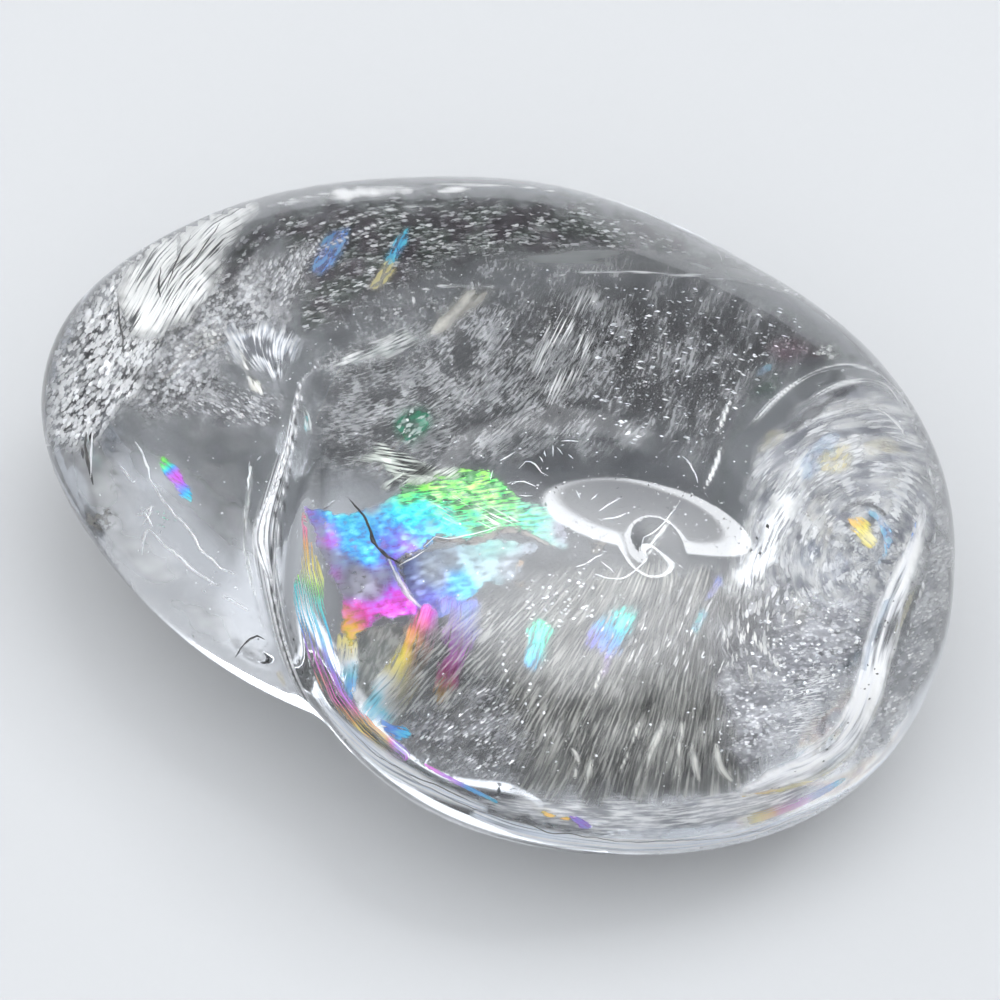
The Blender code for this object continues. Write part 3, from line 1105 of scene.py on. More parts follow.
HAIRS = veil(
    "long_hairs", 1.8, 0.07, 0.36, 0.8, colours=((0.7, 0.71, 0.73), (1, 1, 0.98)), metal=0.3, patch=1.6,
    sharp=0.12, seed=7.5,
)
sheet(
    "hair_veil_middle", HAIRS, depth=4, flow=straight(64), fade=1, seed=73,
    outline=((520, 380), (530, 330), (552, 290), (590, 276), (612, 300), (606, 350), (580, 392), (545, 410)),
)

BEIGE = veil(
    "beige_band", 1.6, 0.5, 1.2, 0.75, colours=((0.45, 0.43, 0.37), (0.8, 0.77, 0.69)), roughness=0.5,
    patch=2, sharp=0.3, detail=5, seed=8,
)
sheet(
    "beige_band_upper", BEIGE, depth=2.5, flow=straight(45), fade=0.6, ragged=0.12, cell=4, seed=8,
    outline=((424, 338), (432, 318), (458, 290), (470, 286), (494, 286), (488, 300), (462, 322), (440, 338)),
)
PALE = veil(
    "pale_smear", 1.2, 0.14, 0.62, 0.8, colours=((0.5, 0.55, 0.52), (1, 1, 0.98)), metal=0.1, roughness=0.4,
    ground=0.2, between=STONE_GREY, patch=1.4, detail=5, seed=8.5,
)
sheet(
    "pale_smear_upper", PALE, depth=3, flow=straight(24), fade=0.8, seed=9,
    outline=((322, 374), (330, 352), (370, 334), (420, 322), (452, 322), (430, 345), (390, 360), (350, 376)),
)
BEADS = scales(
    "beaded_veil", 0.2, 0.16, 0.55, colours=SILVER, metal=0.4, ground=0.5, between=DUSK, patch=1, size=0.38,
    seed=8.7,
)
sheet(
    "beaded_veil_upper", BEADS, depth=2.5, flow=straight(20), fade=0.6, cell=4, seed=74,
    outline=((370, 312), (400, 298), (440, 292), (446, 304), (420, 320), (385, 326)),
)

GRIT = veil(
    "fine_grit", 0.4, 0.14, 0.34, 0.3, colours=((0.5, 0.51, 0.52), (1, 1, 1)), ground=0.26,
    between=((0.04, 0.04, 0.045), (0.12, 0.12, 0.125)), patch=1.5, spread=1, detail=5, seed=9.9,
)
sheet(
    "grit_upper", GRIT, depth=5, flow=round_about(BACK_HUB), fade=1.6, ragged=0.4, seed=153,
    outline=((294, 300), (330, 240), (400, 215), (500, 208), (600, 214), (700, 246), (800, 310),
             (860, 362), (760, 410), (720, 480), (640, 470), (560, 470), (480, 480), (380, 490),
             (310, 490), (296, 420)),
)
OLIVE_GRIT = veil(
    "olive_grit", 1.1, 0.1, 0.4, 0.42, colours=((0.2, 0.2, 0.18), (0.66, 0.65, 0.61)), ground=0.6,
    between=((0.06, 0.06, 0.055), (0.16, 0.16, 0.15)), patch=2.5, spread=0.2, sharp=0.15, detail=5, seed=9.9,
)
sheet(
    "grit_lower", OLIVE_GRIT, depth=4.6, flow=towards(FIBRE_HUB), fade=1.6, ragged=0.4, seed=154,
    outline=((420, 610), (500, 580), (560, 560), (640, 575), (740, 560), (780, 600), (790, 700),
             (760, 780), (680, 800), (560, 800), (460, 780), (390, 740), (380, 690)),
)
# A dark sheet over the upper right: painted shade, which darkens what is seen through the quartz there.
PAINTED_SHADE = veil(
    "painted_shade_veil", 0.9, 0.5, 0.8, 0.55, colours=((0.045, 0.045, 0.05), (0.12, 0.12, 0.125)), roughness=0.7,
    tilt=0.1, ground=0.3, patch=2.6, sharp=0.3, seed=9,
)
UPPER_RIGHT_OUTLINE = (
    (530, 285), (620, 274), (710, 280), (790, 300), (850, 345), (830, 366), (775, 398), (745, 450),
    (720, 490), (690, 462), (620, 440), (560, 440), (520, 440), (500, 400), (510, 330),
)
sheet("painted_shade_upper_right", PAINTED_SHADE, depth=8, flow=straight(40), fade=2.5, seed=52, outline=UPPER_RIGHT_OUTLINE)
# A broad dark sheet deep under the upper middle and right: painted shade.
DIM = veil(
    "painted_broad_shade", 3, 1.5, 0.95, 0.38, colours=((0.07, 0.07, 0.075), (0.14, 0.14, 0.145)), roughness=0.7,
    tilt=0.1, ground=0.25, patch=6, sharp=0.4, seed=9.2,
)
sheet(
    "painted_broad_shade_upper", DIM, depth=9, flow=straight(20), fade=2, cell=8, seed=143,
    outline=((300, 250), (420, 212), (560, 206), (690, 240), (800, 296), (870, 350), (840, 372),
             (770, 400), (745, 470), (740, 560), (640, 590), (520, 600), (460, 520), (330, 500),
             (296, 440), (300, 340)),
)
GRAIN = scales(
    "grainy_veil", 0.13, 0.1, 0.42, colours=((0.5, 0.52, 0.54), (1, 1, 1)), metal=0.4, tilt=0.6, ground=0.3,
    between=((0.04, 0.04, 0.045), (0.09, 0.09, 0.095)), patch=1, size=0.36, seed=9.5,
)
sheet(
    "grainy_veil_upper_right", GRAIN, depth=5, flow=straight(55), fade=2.6, ragged=0.9, seed=53,
    outline=UPPER_RIGHT_OUTLINE,
)
BAND_GREY = veil(
    "grey_band", 5, 0.5, 0.9, 0.55, colours=((0.24, 0.25, 0.25), (0.34, 0.35, 0.35)), roughness=0.6,
    tilt=0.1, patch=3, sharp=0.3, seed=9.7,
)
strip(
    "grey_band_back", BAND_GREY, depth=1, fade=0.2, cell=5, seed=75,
    line=((500, 262), (560, 258), (620, 258), (680, 264), (740, 272), (790, 288), (830, 312)),
    widths=(10, 20, 24, 22, 22, 16, 8),
)

# ---------------------------------------------------------------- the right side

SWIRL_FLOW = round_about(SWIRL_HUB)
CLOUD = veil(
    "swirl_cloud", 2.6, 0.42, 0.76, 0.88, colours=((0.5, 0.51, 0.56), (1, 1, 0.98)), roughness=0.5,
    tilt=0.4, ground=0.8, between=((0.3, 0.31, 0.35), (0.56, 0.56, 0.58)), patch=2.2, spread=0.7, sharp=0.3,
    detail=6, seed=10.2,
)
SWIRL = veil(
    "swirl_veil", 1.3, 0.13, 0.36, 0.7, colours=((0.6, 0.61, 0.64), (1, 1, 0.99)), metal=0.1, ground=0.1,
    between=((0.16, 0.16, 0.18), (0.3, 0.3, 0.31)), patch=1.4, spread=1.3, detail=5, seed=10,
)
SWIRL_OUTLINE = (
    (700, 640), (712, 580), (734, 520), (750, 460), (776, 416), (812, 384), (850, 362), (892, 376),
    (924, 416), (944, 470), (946, 530), (934, 580), (905, 620), (860, 640), (810, 650), (770, 680),
    (725, 690),
)
sheet(
    "swirl_cloud_right", CLOUD, depth=5.2, bulge=1, flow=SWIRL_FLOW, fade=1.3, ragged=0.5, wobble=0.4,
    seed=149,
    outline=SWIRL_OUTLINE,
)
sheet(
    "swirl_veil_right", SWIRL, depth=4.5, bulge=1, flow=SWIRL_FLOW, fade=1.2, ragged=0.4, wobble=0.35,
    seed=10,
    outline=SWIRL_OUTLINE,
)
ARC = veil(
    "white_arc", 3, 0.09, 0.74, 0.9, colours=((0.8, 0.82, 0.84), (1, 1, 0.99)), metal=0.3, patch=2,
    seed=10.5,
)
strip(
    "outer_arc_right", ARC, depth=1.6, fade=0.2, seed=76,
    line=((751, 426), (771, 403), (794, 384), (816, 372), (840, 366), (857, 366), (874, 371), (891, 383),
          (905, 400), (914, 419), (922, 446), (928, 464), (933, 485)),
    widths=(6, 8, 7, 7, 8, 7, 5, 4, 5, 4, 3, 4, 3),
)
strip(
    "second_arc_right", ARC, depth=1.8, fade=0.2, seed=77,
    line=((800, 407), (822, 392), (843, 383), (866, 380), (883, 384), (895, 396), (906, 416)),
    widths=(4, 8, 10, 9, 9, 7, 3),
)
strip(
    "third_arc_right", ARC, depth=2.4, fade=0.2, seed=78,
    line=((858, 408), (880, 410), (898, 424), (908, 442)),
    widths=(3, 5, 5, 2),
)
DARK_ARC = veil(
    "dark_arc", 1.5, 0.2, 0.85, 0.8, colours=((0.05, 0.05, 0.06), (0.14, 0.14, 0.15)), roughness=0.6,
    patch=1.4, seed=10.7,
)
strip(
    "dark_arc_right", DARK_ARC, depth=2, fade=0.25, ragged=0.2, seed=79,
    line=((784, 436), (802, 420), (820, 408), (838, 394), (856, 387), (876, 390)),
    widths=(6, 12, 13, 10, 7, 3),
)
strip(
    "dark_arc_by_eye", DARK_ARC, depth=2.2, fade=0.3, ragged=0.15, seed=80,
    line=((838, 522), (844, 510), (856, 503), (872, 505), (886, 514), (890, 530)),
    widths=(3, 8, 10, 8, 5, 3),
)

WHITE_BAND = veil(
    "white_band", 1.1, 0.14, 0.82, 1, colours=((0.9, 0.92, 0.96), (1, 1, 0.97)), metal=0.05, patch=1.4,
    sharp=0.22, detail=4.5, seed=11,
)
sheet(
    "white_band_right", WHITE_BAND, depth=3, flow=round_about(WHITE_BAND_HUB), fade=1, ragged=0.35, cell=4,
    seed=11,
    outline=((722, 590), (742, 545), (760, 505), (782, 462), (802, 440), (820, 446), (818, 476),
             (804, 512), (790, 548), (770, 584), (745, 606)),
)
PLEATS = scales(
    "pleated_beads", 0.6, 0.16, 0.85, colours=((0.85, 0.86, 0.88), (1, 0.99, 0.94)), metal=0.25,
    ground=0.45, between=((0.18, 0.18, 0.2), (0.36, 0.36, 0.38)), patch=1, size=0.42, seed=11.5,
)
sheet(
    "pleated_veil_right", PLEATS, depth=3.5, flow=round_about(PLEATS_HUB), fade=1.6, ragged=0.6, seed=81,
    outline=((700, 640), (716, 600), (738, 570), (770, 560), (806, 572), (812, 610), (800, 650),
             (780, 690), (745, 700), (715, 680)),
)
DUST = scales(
    "dusty_veil", 0.19, 0.11, 0.75, colours=WHITE, metal=0.1, tilt=0.6, ground=0.7,
    between=((0.56, 0.56, 0.6), (0.95, 0.95, 1)), patch=1.6, size=0.4, sharp=0.2, faint=0.2, seed=14,
)
sheet(
    "dusty_veil_right", DUST, depth=4, flow=straight(5), fade=2.2, ragged=0.6, seed=14,
    outline=((700, 660), (750, 600), (820, 575), (890, 585), (890, 640), (868, 700), (830, 750),
             (770, 785), (720, 780), (700, 720)),
)
RIPPLES = veil(
    "fine_ripples", 0.5, 0.07, 0.5, 0.8, colours=SILVER, metal=0.3, patch=1.6, sharp=0.1, seed=14.5,
)
sheet(
    "rippled_veil_right", RIPPLES, depth=3, flow=straight(12), fade=1.2, seed=82,
    outline=((764, 690), (800, 665), (846, 650), (856, 680), (840, 720), (806, 752), (772, 764)),
)
sheet(
    "rippled_veil_edge", DUST, depth=1.2, flow=straight(40), fade=0.8, seed=83,
    outline=((866, 700), (890, 668), (918, 660), (908, 700), (880, 745), (850, 775), (830, 790), (836, 760)),
)

# The band of light along the right rim, where light is refracted: painted light.
RIGHT_BAND = (
    (927, 496), (920, 530), (908, 565), (892, 605), (880, 645), (868, 690), (848, 733), (812, 764),
    (772, 780), (738, 793),
)
BAND_LIGHT = veil(
    "band_of_light", 3, 0.22, 0.92, 1, colours=((0.96, 0.97, 1), (1, 1, 0.99)), tilt=0.5, patch=3,
    sharp=0.3, seed=18,
)
strip(
    "light_band_right", BAND_LIGHT, depth=1, fade=0.35, ragged=0.1, cell=4, seed=144,
    line=RIGHT_BAND,
    widths=(4, 16, 26, 33, 37, 36, 38, 36, 26, 12),
)
# Lines of light along the right rim, where light is refracted: painted light.
RIDGE_LIGHT = veil(
    "line_of_light", 4, 0.1, 0.85, 0.95, colours=((0.9, 0.92, 0.95), (1, 1, 0.99)), patch=3, sharp=0.3,
    seed=18.5,
)
PALE_DUST = scales(
    "pale_dust", 0.17, 0.1, 0.7, colours=((0.6, 0.61, 0.63), (1, 1, 1)), metal=0.1, ground=0.8,
    between=((0.4, 0.41, 0.43), (0.62, 0.63, 0.65)), patch=1.6, size=0.4, sharp=0.25, faint=0.2, seed=14.2,
)
sheet(
    "pale_edge_right", PALE_DUST, depth=0.7, flow=straight(30), fade=0.6, ragged=0.3, seed=151,
    outline=((926, 440), (944, 480), (956, 545), (952, 610), (936, 668), (908, 724), (868, 772),
             (836, 794), (846, 764), (872, 716), (890, 660), (908, 610), (924, 560), (930, 500)),
)
strip(
    "light_line_right", RIDGE_LIGHT, depth=0.8, fade=0.12, seed=145,
    line=((939, 515), (936, 540), (932, 561), (922, 590), (912, 625), (898, 660)),
    widths=(3, 6, 7, 6, 5, 3),
)
strip(
    "light_line_far_right", RIDGE_LIGHT, depth=0.8, fade=0.08, seed=146,
    line=((928, 462), (931, 474), (934, 486)),
    widths=(2, 6, 2),
)

# ---------------------------------------------------------------- below the middle

FIBRES = veil(
    "long_fibres", 2.2, 0.14, 0.4, 0.98, colours=((0.14, 0.14, 0.13), (0.62, 0.61, 0.56)), ground=0.98,
    between=((0.12, 0.12, 0.115), (0.24, 0.24, 0.23)), patch=2.6, spread=0.3, sharp=0.16, detail=6, seed=12,
)
sheet(
    "fibre_veil_lower", FIBRES, depth=5, bulge=1, flow=towards(FIBRE_HUB), fade=1.6, ragged=0.6,
    wobble=0.35, seed=12,
    outline=((490, 640), (540, 580), (600, 556), (660, 552), (730, 560), (776, 600), (786, 680),
             (782, 770), (750, 812), (680, 820), (610, 820), (540, 812), (500, 790), (488, 720)),
)
SHORT = scales(
    "short_pleats", 0.7, 0.11, 0.4, colours=((0.5, 0.5, 0.52), (1, 1, 0.97)), metal=0.2, tilt=0.4,
    ground=0.2, between=DUSK, patch=1.2, size=0.38, seed=12.5,
)
sheet(
    "short_pleats_lower", SHORT, depth=4, flow=straight(66), fade=1.2, seed=84,
    outline=((590, 610), (640, 580), (720, 575), (745, 620), (740, 680), (700, 690), (650, 680), (600, 660)),
)
SOFT_FIBRE = veil(
    "soft_fibre", 2.5, 0.16, 0.74, 0.75, colours=((0.56, 0.55, 0.5), (1, 0.99, 0.92)), patch=2, sharp=0.35,
    seed=12.8,
)
FIBRE_GROWTH, FIBRE_MARGIN = 1.3, 1.5  # a bright fibre is drawn wider than its widths, in pixels
for index, (line, widths) in enumerate((
    (((617, 646), (608, 662), (600, 675), (588, 708), (574, 733), (564, 742)), (2, 4, 4, 3, 3, 2)),
    (((640, 721), (632, 744), (620, 772)), (1.5, 2.5, 1.5)),
    (((667, 717), (657, 739), (648, 760), (645, 786), (648, 798)), (3, 8, 7, 6, 5)),
    (((684, 720), (679, 754), (676, 792)), (2, 4, 3)),
    (((692, 742), (696, 770), (700, 784)), (3, 7, 3)),
    (((716, 742), (722, 768), (734, 784)), (4, 9, 6)),
    (((594, 752), (590, 772), (585, 792)), (3, 6, 4)),
    (((572, 748), (578, 760), (574, 778)), (3, 5, 3)),
)):
    wider = np.array(widths) * FIBRE_GROWTH + FIBRE_MARGIN
    strip(f"bright_fibre_{index}", SOFT_FIBRE, line, wider, 4, fade=0.3, ragged=0.06, seed=90 + index)

DIMPLES = scales(
    "dimpled_veil", 0.3, 0.1, 0.95, colours=WHITE, metal=0.15, ground=0.6,
    between=((0.16, 0.16, 0.165), (0.4, 0.4, 0.42)), patch=1.5, spread=1.6, size=0.38, faint=0.2, seed=13,
)
sheet(
    "dimpled_veil_lower", DIMPLES, depth=4, flow=straight(36), fade=1.7, ragged=0.5, seed=13,
    outline=((385, 748), (400, 712), (440, 690), (478, 664), (505, 672), (530, 700), (545, 745),
             (535, 785), (480, 790), (430, 778)),
)
# Flecks along the bottom rim, on a pale ground that is painted light and brightens the rim.
RIM_FLECKS = veil(
    "rim_flecks", 1, 0.1, 0.54, 0.85, colours=((0.7, 0.71, 0.74), (1, 1, 1)), ground=0.85,
    between=((0.4, 0.41, 0.44), (0.58, 0.59, 0.63)), patch=3, spread=0.3, detail=5, seed=15,
)
strip(
    "rim_flecks_lower", RIM_FLECKS, depth=1.6, fade=0.8, ragged=0.3, cell=5, seed=15,
    line=((440, 790), (500, 806), (560, 814), (640, 818), (720, 812), (790, 792), (840, 764)),
    widths=(14, 32, 44, 50, 50, 44, 18),
)

# ---------------------------------------------------------------- the rim's glow and the crease's lines, most of them painted light and shade

# The rim_glow strips: bright lines along the bottom rim, where light is refracted: painted light, with
# painted shade on the darker ground between them.
GLOW = veil(
    "rim_glow", 6, 0.09, 0.86, 1, colours=((0.8, 0.88, 1), (1, 1, 1)), tilt=0.6, ground=0.7,
    between=((0.08, 0.08, 0.085), (0.34, 0.36, 0.4)), patch=4, spread=0.3, sharp=0.16, seed=16,
)
# Fine bright and dark lines along the crease, where the light is bent: painted light and painted shade.
CREASE_LIGHT_LINES = veil(
    "painted_crease_light_lines", 30, 0.09, 0.5, 0.95, colours=((0.5, 0.52, 0.57), (1, 1, 1)), metal=0.1, tilt=0.3,
    ground=0.75, between=((0.04, 0.04, 0.045), (0.22, 0.22, 0.23)), patch=8, spread=0.3, sharp=0.14,
    detail=2, seed=16.5,
)
strip(
    "rim_glow_left", GLOW, depth=0.9, fade=0.3, cell=4, seed=100,
    line=((312, 672), (322, 700), (340, 724), (366, 748), (400, 772), (440, 792), (490, 812)),
    widths=(4, 10, 18, 24, 26, 20, 14),
)
strip(
    "rim_glow_bottom", GLOW, depth=0.7, fade=0.2, cell=4, seed=101,
    line=((470, 812), (520, 830), (580, 842), (640, 846), (700, 843), (760, 831), (820, 808), (856, 786)),
    widths=(12, 18, 20, 20, 18, 16, 12, 6),
)
strip(
    "crease_band", CREASE_LIGHT_LINES, depth=0.8, fade=0.3, crumple=0.03, wobble=0.04, cell=4, seed=102,
    line=((300, 385), (294, 410), (288, 442), (280, 468), (272, 495), (266, 520), (264, 545), (268, 575),
          (274, 606), (282, 640), (294, 676), (312, 712)),
    widths=(6, 10, 14, 18, 22, 26, 28, 26, 22, 18, 14, 8),
)
# White lines on the two sides of the crease: painted highlights.
CREASE_HIGHLIGHT = veil(
    "painted_crease_highlight", 30, 0.12, 0.9, 1, colours=((0.9, 0.91, 0.94), (1, 1, 1)), metal=0.2, tilt=0.2, patch=3,
    seed=17,
)
strip(
    "crease_highlight_left", CREASE_HIGHLIGHT, depth=0.5, fade=0.1, seed=103,
    line=((320, 359), (313, 370), (307, 376), (301, 383), (297, 397), (294, 409), (290, 429), (286, 448),
          (280, 472), (270, 496), (261, 520), (258, 540), (263, 560), (270, 580)),
    widths=(4, 3, 3, 4, 4, 4, 3, 4, 5, 6, 10, 12, 10, 4),
)
strip(
    "crease_highlight_right", CREASE_HIGHLIGHT, depth=0.5, fade=0.1, seed=104,
    line=((303, 394), (298, 409), (296, 425), (292, 450), (286, 480), (279, 515), (276, 546), (274, 572),
          (278, 612), (284, 640), (292, 664)),
    widths=(3, 3, 4, 3, 3, 4, 4, 5, 4, 3, 2),
)
strip(
    "crease_lilac_left", PALE, depth=1.2, fade=0.15, seed=105,
    line=((251, 464), (249, 490), (245, 520), (246, 552), (252, 586), (260, 618), (268, 640)),
    widths=(3, 5, 6, 6, 5, 4, 2),
)
# Dark lines in the crease: painted shade.
CREASE_SHADE = veil(
    "painted_crease_shade", 30, 0.2, 0.97, 0.95, colours=((0.02, 0.02, 0.025), (0.06, 0.06, 0.065)), roughness=0.5,
    patch=3, seed=17.5,
)
strip(
    "crease_shade_left", CREASE_SHADE, depth=0.4, fade=0.08, seed=106,
    line=((301, 399), (296, 420), (293, 436), (287, 456), (282, 472), (277, 500), (273, 524), (272, 548),
          (270, 576), (274, 606), (279, 628), (285, 654), (297, 685), (309, 707)),
    widths=(2, 3, 3, 2, 2, 2, 3, 3, 3, 3, 3, 3, 3, 2),
)
strip(
    "crease_shade_right", CREASE_SHADE, depth=0.4, fade=0.12, seed=107,
    line=((299, 430), (290, 471), (283, 513), (281, 546), (280, 580), (288, 618), (296, 650), (306, 684),
          (322, 714)),
    widths=(2, 2, 3, 3, 3, 3, 4, 5, 3),
)
strip(
    "pale_blade_by_crease", PALE, depth=0.8, fade=0.2, seed=108,
    line=((300, 404), (305, 412), (308, 424), (309, 436)),
    widths=(3, 9, 12, 4),
)

# ---------------------------------------------------------------- the rainbow fracture

RAINBOW = film("rainbow_film", 0.42, 0.24, ground=0.62, veins=0.95, gap_share=0.7, seed=20)
sheet(
    "rainbow_film_middle", RAINBOW, depth=5, slope=(0.12, -0.05), flow=straight(6), fade=0.5, ragged=0.15,
    cell=3, seed=20,
    outline=((302, 503), (330, 509), (362, 506), (392, 492), (404, 480), (422, 470), (450, 464),
             (486, 466), (510, 484), (530, 498), (556, 508), (570, 528), (566, 552), (545, 546),
             (520, 534), (490, 540), (440, 544), (418, 556), (402, 566), (420, 604), (412, 620),
             (380, 622), (362, 638), (352, 658), (340, 640), (336, 600), (318, 560), (305, 520)),
    spots=((304, 512, 0.4, 1), (309, 540, 0.31, 0.9), (316, 512, 0.52, 0.8), (330, 511, 0.62, 0.7),
           (312, 530, 0.45, 0.5), (321, 548, 0.4, 0), (320, 570, 0.4, 0), (330, 541, 0.34, 0.9),
           (333, 575, 0.34, 0.7), (318, 532, 0.5, 0), (322, 558, 0.5, 0), (328, 587, 0.45, 0),
           (336, 556, 0.55, 0.1), (354, 572, 0.5, 0), (358, 590, 0.45, 0), (384, 574, 0.5, 0.1),
           (372, 506, 0.6, 0), (345, 515, 0.63, 0.7), (345, 528, 0.6, 0.9), (362, 532, 0.59, 1),
           (348, 545, 0.62, 1), (368, 556, 0.63, 1), (345, 562, 0.58, 0.3), (362, 578, 0.47, 0),
           (345, 590, 0.4, 0), (374, 592, 0.42, 0.05), (340, 575, 0.4, 0.1), (399, 514, 0.64, 1),
           (415, 520, 0.63, 1), (385, 522, 0.56, 0.7), (428, 525, 0.6, 0.1), (398, 536, 0.46, 0.9),
           (386, 545, 0.5, 0.8), (412, 543, 0.45, 0.8), (399, 556, 0.47, 0.8), (422, 538, 0.56, 0.8),
           (392, 500, 0.66, 0.3), (404, 497, 0.82, 0.7), (425, 484, 0.84, 1), (440, 494, 0.84, 1),
           (425, 505, 0.68, 0.9), (445, 512, 0.69, 0.9), (460, 500, 0.82, 1), (475, 480, 0.83, 1),
           (487, 500, 0.81, 1), (490, 522, 0.78, 1), (470, 520, 0.73, 1), (452, 532, 0.67, 0.9),
           (508, 515, 0.77, 0.8), (505, 500, 0.8, 0.4), (524, 514, 0.73, 0.7), (530, 524, 0.72, 0.5),
           (545, 535, 0.7, 0.3), (410, 474, 0.84, 0.3), (440, 470, 0.84, 0.5), (560, 530, 0.7, 0.05),
           (530, 505, 0.72, 0.2), (344, 612, 0.22, 0.8), (356, 612, 0.28, 0.7), (349, 628, 0.14, 1),
           (356, 634, 0.12, 1), (351, 646, 0.08, 1), (366, 624, 0.3, 1), (384, 614, 0.34, 1),
           (398, 600, 0.34, 1), (404, 608, 0.35, 1), (412, 616, 0.42, 0.9), (378, 622, 0.37, 0.9)),
)

OLIVE_HAZE = veil(
    "olive_haze", 0.6, 0.2, 0.6, 0.7, colours=((0.34, 0.35, 0.31), (0.58, 0.58, 0.52)), ground=0.6,
    between=((0.3, 0.31, 0.28), (0.44, 0.45, 0.41)), patch=1.2, sharp=0.4, detail=5, seed=20.5,
)
sheet(
    "olive_haze_by_arcs", OLIVE_HAZE, depth=5.8, flow=beside(ARCS_RUN), fade=0.8, ragged=0.3, cell=4,
    seed=155,
    outline=((346, 640), (366, 622), (400, 612), (424, 610), (430, 650), (410, 700), (380, 726),
             (352, 712), (342, 680)),
)
FLOOR_FILM = film(
    "fracture_floor_film", 0.5, 0.22, tilt=0.45, ground=0.75, ground_colour=(0.33, 0.37, 0.42), wander=0.04,
    gap_share=0.8, seed=26,
)
sheet(
    "rainbow_film_below", FLOOR_FILM, depth=5.6, flow=straight(10), fade=0.5, ragged=0.25, cell=3, seed=26,
    outline=((402, 560), (420, 548), (450, 542), (490, 536), (520, 536), (540, 545), (530, 565),
             (508, 584), (474, 598), (466, 614), (432, 618), (412, 606), (402, 582)),
    spots=((412, 566, 0.5, 0.3), (425, 558, 0.55, 0.15), (440, 580, 0.52, 0.12), (415, 590, 0.49, 0.3),
           (432, 600, 0.48, 0.55), (457, 584, 0.6, 0.9), (450, 560, 0.58, 0.1), (470, 555, 0.68, 0.2),
           (487, 548, 0.69, 0.3), (505, 545, 0.7, 0.25), (480, 570, 0.66, 0.15), (510, 565, 0.7, 0.05),
           (450, 600, 0.52, 0.5), (430, 570, 0.52, 0.05), (536, 556, 0.7, 0)),
)

STREAKS = film(
    "rainbow_streaks", 1.6, 0.13, metal=0.1, ground=0.4, ground_colour=(0.34, 0.34, 0.33), wander=0.06,
    gap_share=0.45, seed=23,
)
sheet(
    "rainbow_arcs_lower", STREAKS, depth=5.2, slope=(0.1, 0.1), flow=beside(ARCS_RUN), fade=0.8, ragged=0.2,
    cell=3, seed=21,
    outline=((416, 600), (436, 598), (448, 624), (442, 660), (428, 690), (410, 716), (384, 732),
             (354, 718), (358, 696), (378, 670), (392, 646), (404, 622)),
    spots=((428, 609, 0.32, 0.9), (422, 622, 0.26, 0.8), (414, 638, 0.19, 0.6), (404, 655, 0.1, 0.6),
           (396, 668, 0.06, 0.6), (384, 684, -0.12, 0.5), (376, 700, -0.2, 0.7), (380, 716, -0.24, 0.5),
           (398, 690, 0.02, 0.4), (390, 704, -0.06, 0.4), (410, 690, 0.12, 0.2), (420, 655, 0.24, 0.2),
           (434, 635, 0.32, 0.1), (412, 672, 0.16, 0.25), (440, 620, 0.4, 0.2), (428, 676, 0.2, 0)),
)
sheet(
    "rainbow_streak_magenta", STREAKS, depth=5.2, slope=(0.1, 0.1), flow=beside(MAGENTA_RUN), fade=0.9,
    ragged=0.2, cell=3, seed=27,
    outline=((434, 596), (460, 592), (488, 598), (484, 640), (470, 674), (450, 704), (430, 710),
             (430, 670), (438, 640)),
    spots=((446, 612, 0.44, 0.3), (466, 612, 0.52, 0.7), (470, 630, 0.49, 0.6), (460, 640, 0.42, 0.8),
           (455, 652, 0.36, 1), (450, 668, 0.31, 1), (444, 682, 0.25, 0.7), (438, 694, 0.15, 0.5),
           (442, 640, 0.38, 0.3), (474, 660, 0.42, 0), (484, 620, 0.5, 0.1)),
)

CREASE_RUN = ((302, 530), (305, 570), (312, 610), (324, 655), (340, 694), (366, 728), (400, 758))
FAN = film("rainbow_fan", 5, 0.085, metal=0.1, wander=0.04, gaps=0.44, gap_share=0.08, seed=22)
sheet(
    "rainbow_fan_by_crease", FAN, depth=1.6, flow=beside(CREASE_RUN), fade=0.14, ragged=0.05, cell=3,
    seed=22,
    outline=((302, 506), (312, 540), (324, 578), (326, 610), (334, 645), (348, 690), (372, 722),
             (410, 752), (398, 762), (356, 732), (326, 700), (308, 660), (294, 610), (292, 585), (300, 560)),
    spots=((304, 530, 1.18, 0.9), (305, 546, 1.1, 1), (304, 562, 1.05, 1), (316, 568, 1.02, 1),
           (321, 580, 1, 0.9), (318, 590, 0.8, 0.4), (295, 590, 0.61, 1), (304, 600, 0.63, 1),
           (316, 605, 0.65, 0.9), (300, 615, 0.57, 1), (312, 630, 0.62, 1), (326, 640, 0.61, 1),
           (330, 665, 0.58, 1), (342, 684, 0.54, 1), (306, 640, 0.4, 1), (312, 660, 0.3, 1),
           (322, 676, 0.33, 1), (334, 695, 0.24, 1), (344, 700, 0.42, 0.9), (318, 680, 0.06, 0.9),
           (340, 712, 0.08, 1), (356, 716, 0.28, 0.8), (356, 726, 0.05, 1), (384, 744, 0.04, 1),
           (396, 744, 0.52, 0.7), (352, 694, 0.47, 0.9)),
)
SOFT_FILM = film("rainbow_glow", 0.7, 0.14, metal=0.1, ground=0.25, wander=0.05, gap_share=0.25, seed=24)
GLOW_FILM = film("rainbow_patches", 0.9, 0.16, metal=0, wander=0.05, gaps=0.38, gap_share=0.4, seed=24.5)
sheet(
    "rainbow_drop", SOFT_FILM, depth=4.5, flow=straight(88), fade=0.6, ragged=0.1, cell=3, seed=28,
    outline=((332, 636), (348, 626), (362, 640), (362, 670), (356, 704), (342, 694), (334, 660)),
    spots=((346, 640, 0.08, 1), (346, 654, 0, 1), (349, 668, -0.14, 1), (349, 684, -0.26, 1)),
)
sheet(
    "rainbow_blue_at_rim", SOFT_FILM, depth=3, flow=straight(-20), fade=0.3, ragged=0.08, cell=3, seed=29,
    outline=((378, 716), (392, 722), (408, 726), (412, 736), (400, 742), (384, 734)),
    spots=((390, 728, 0.52, 0.8), (404, 733, 0.59, 1)),
)
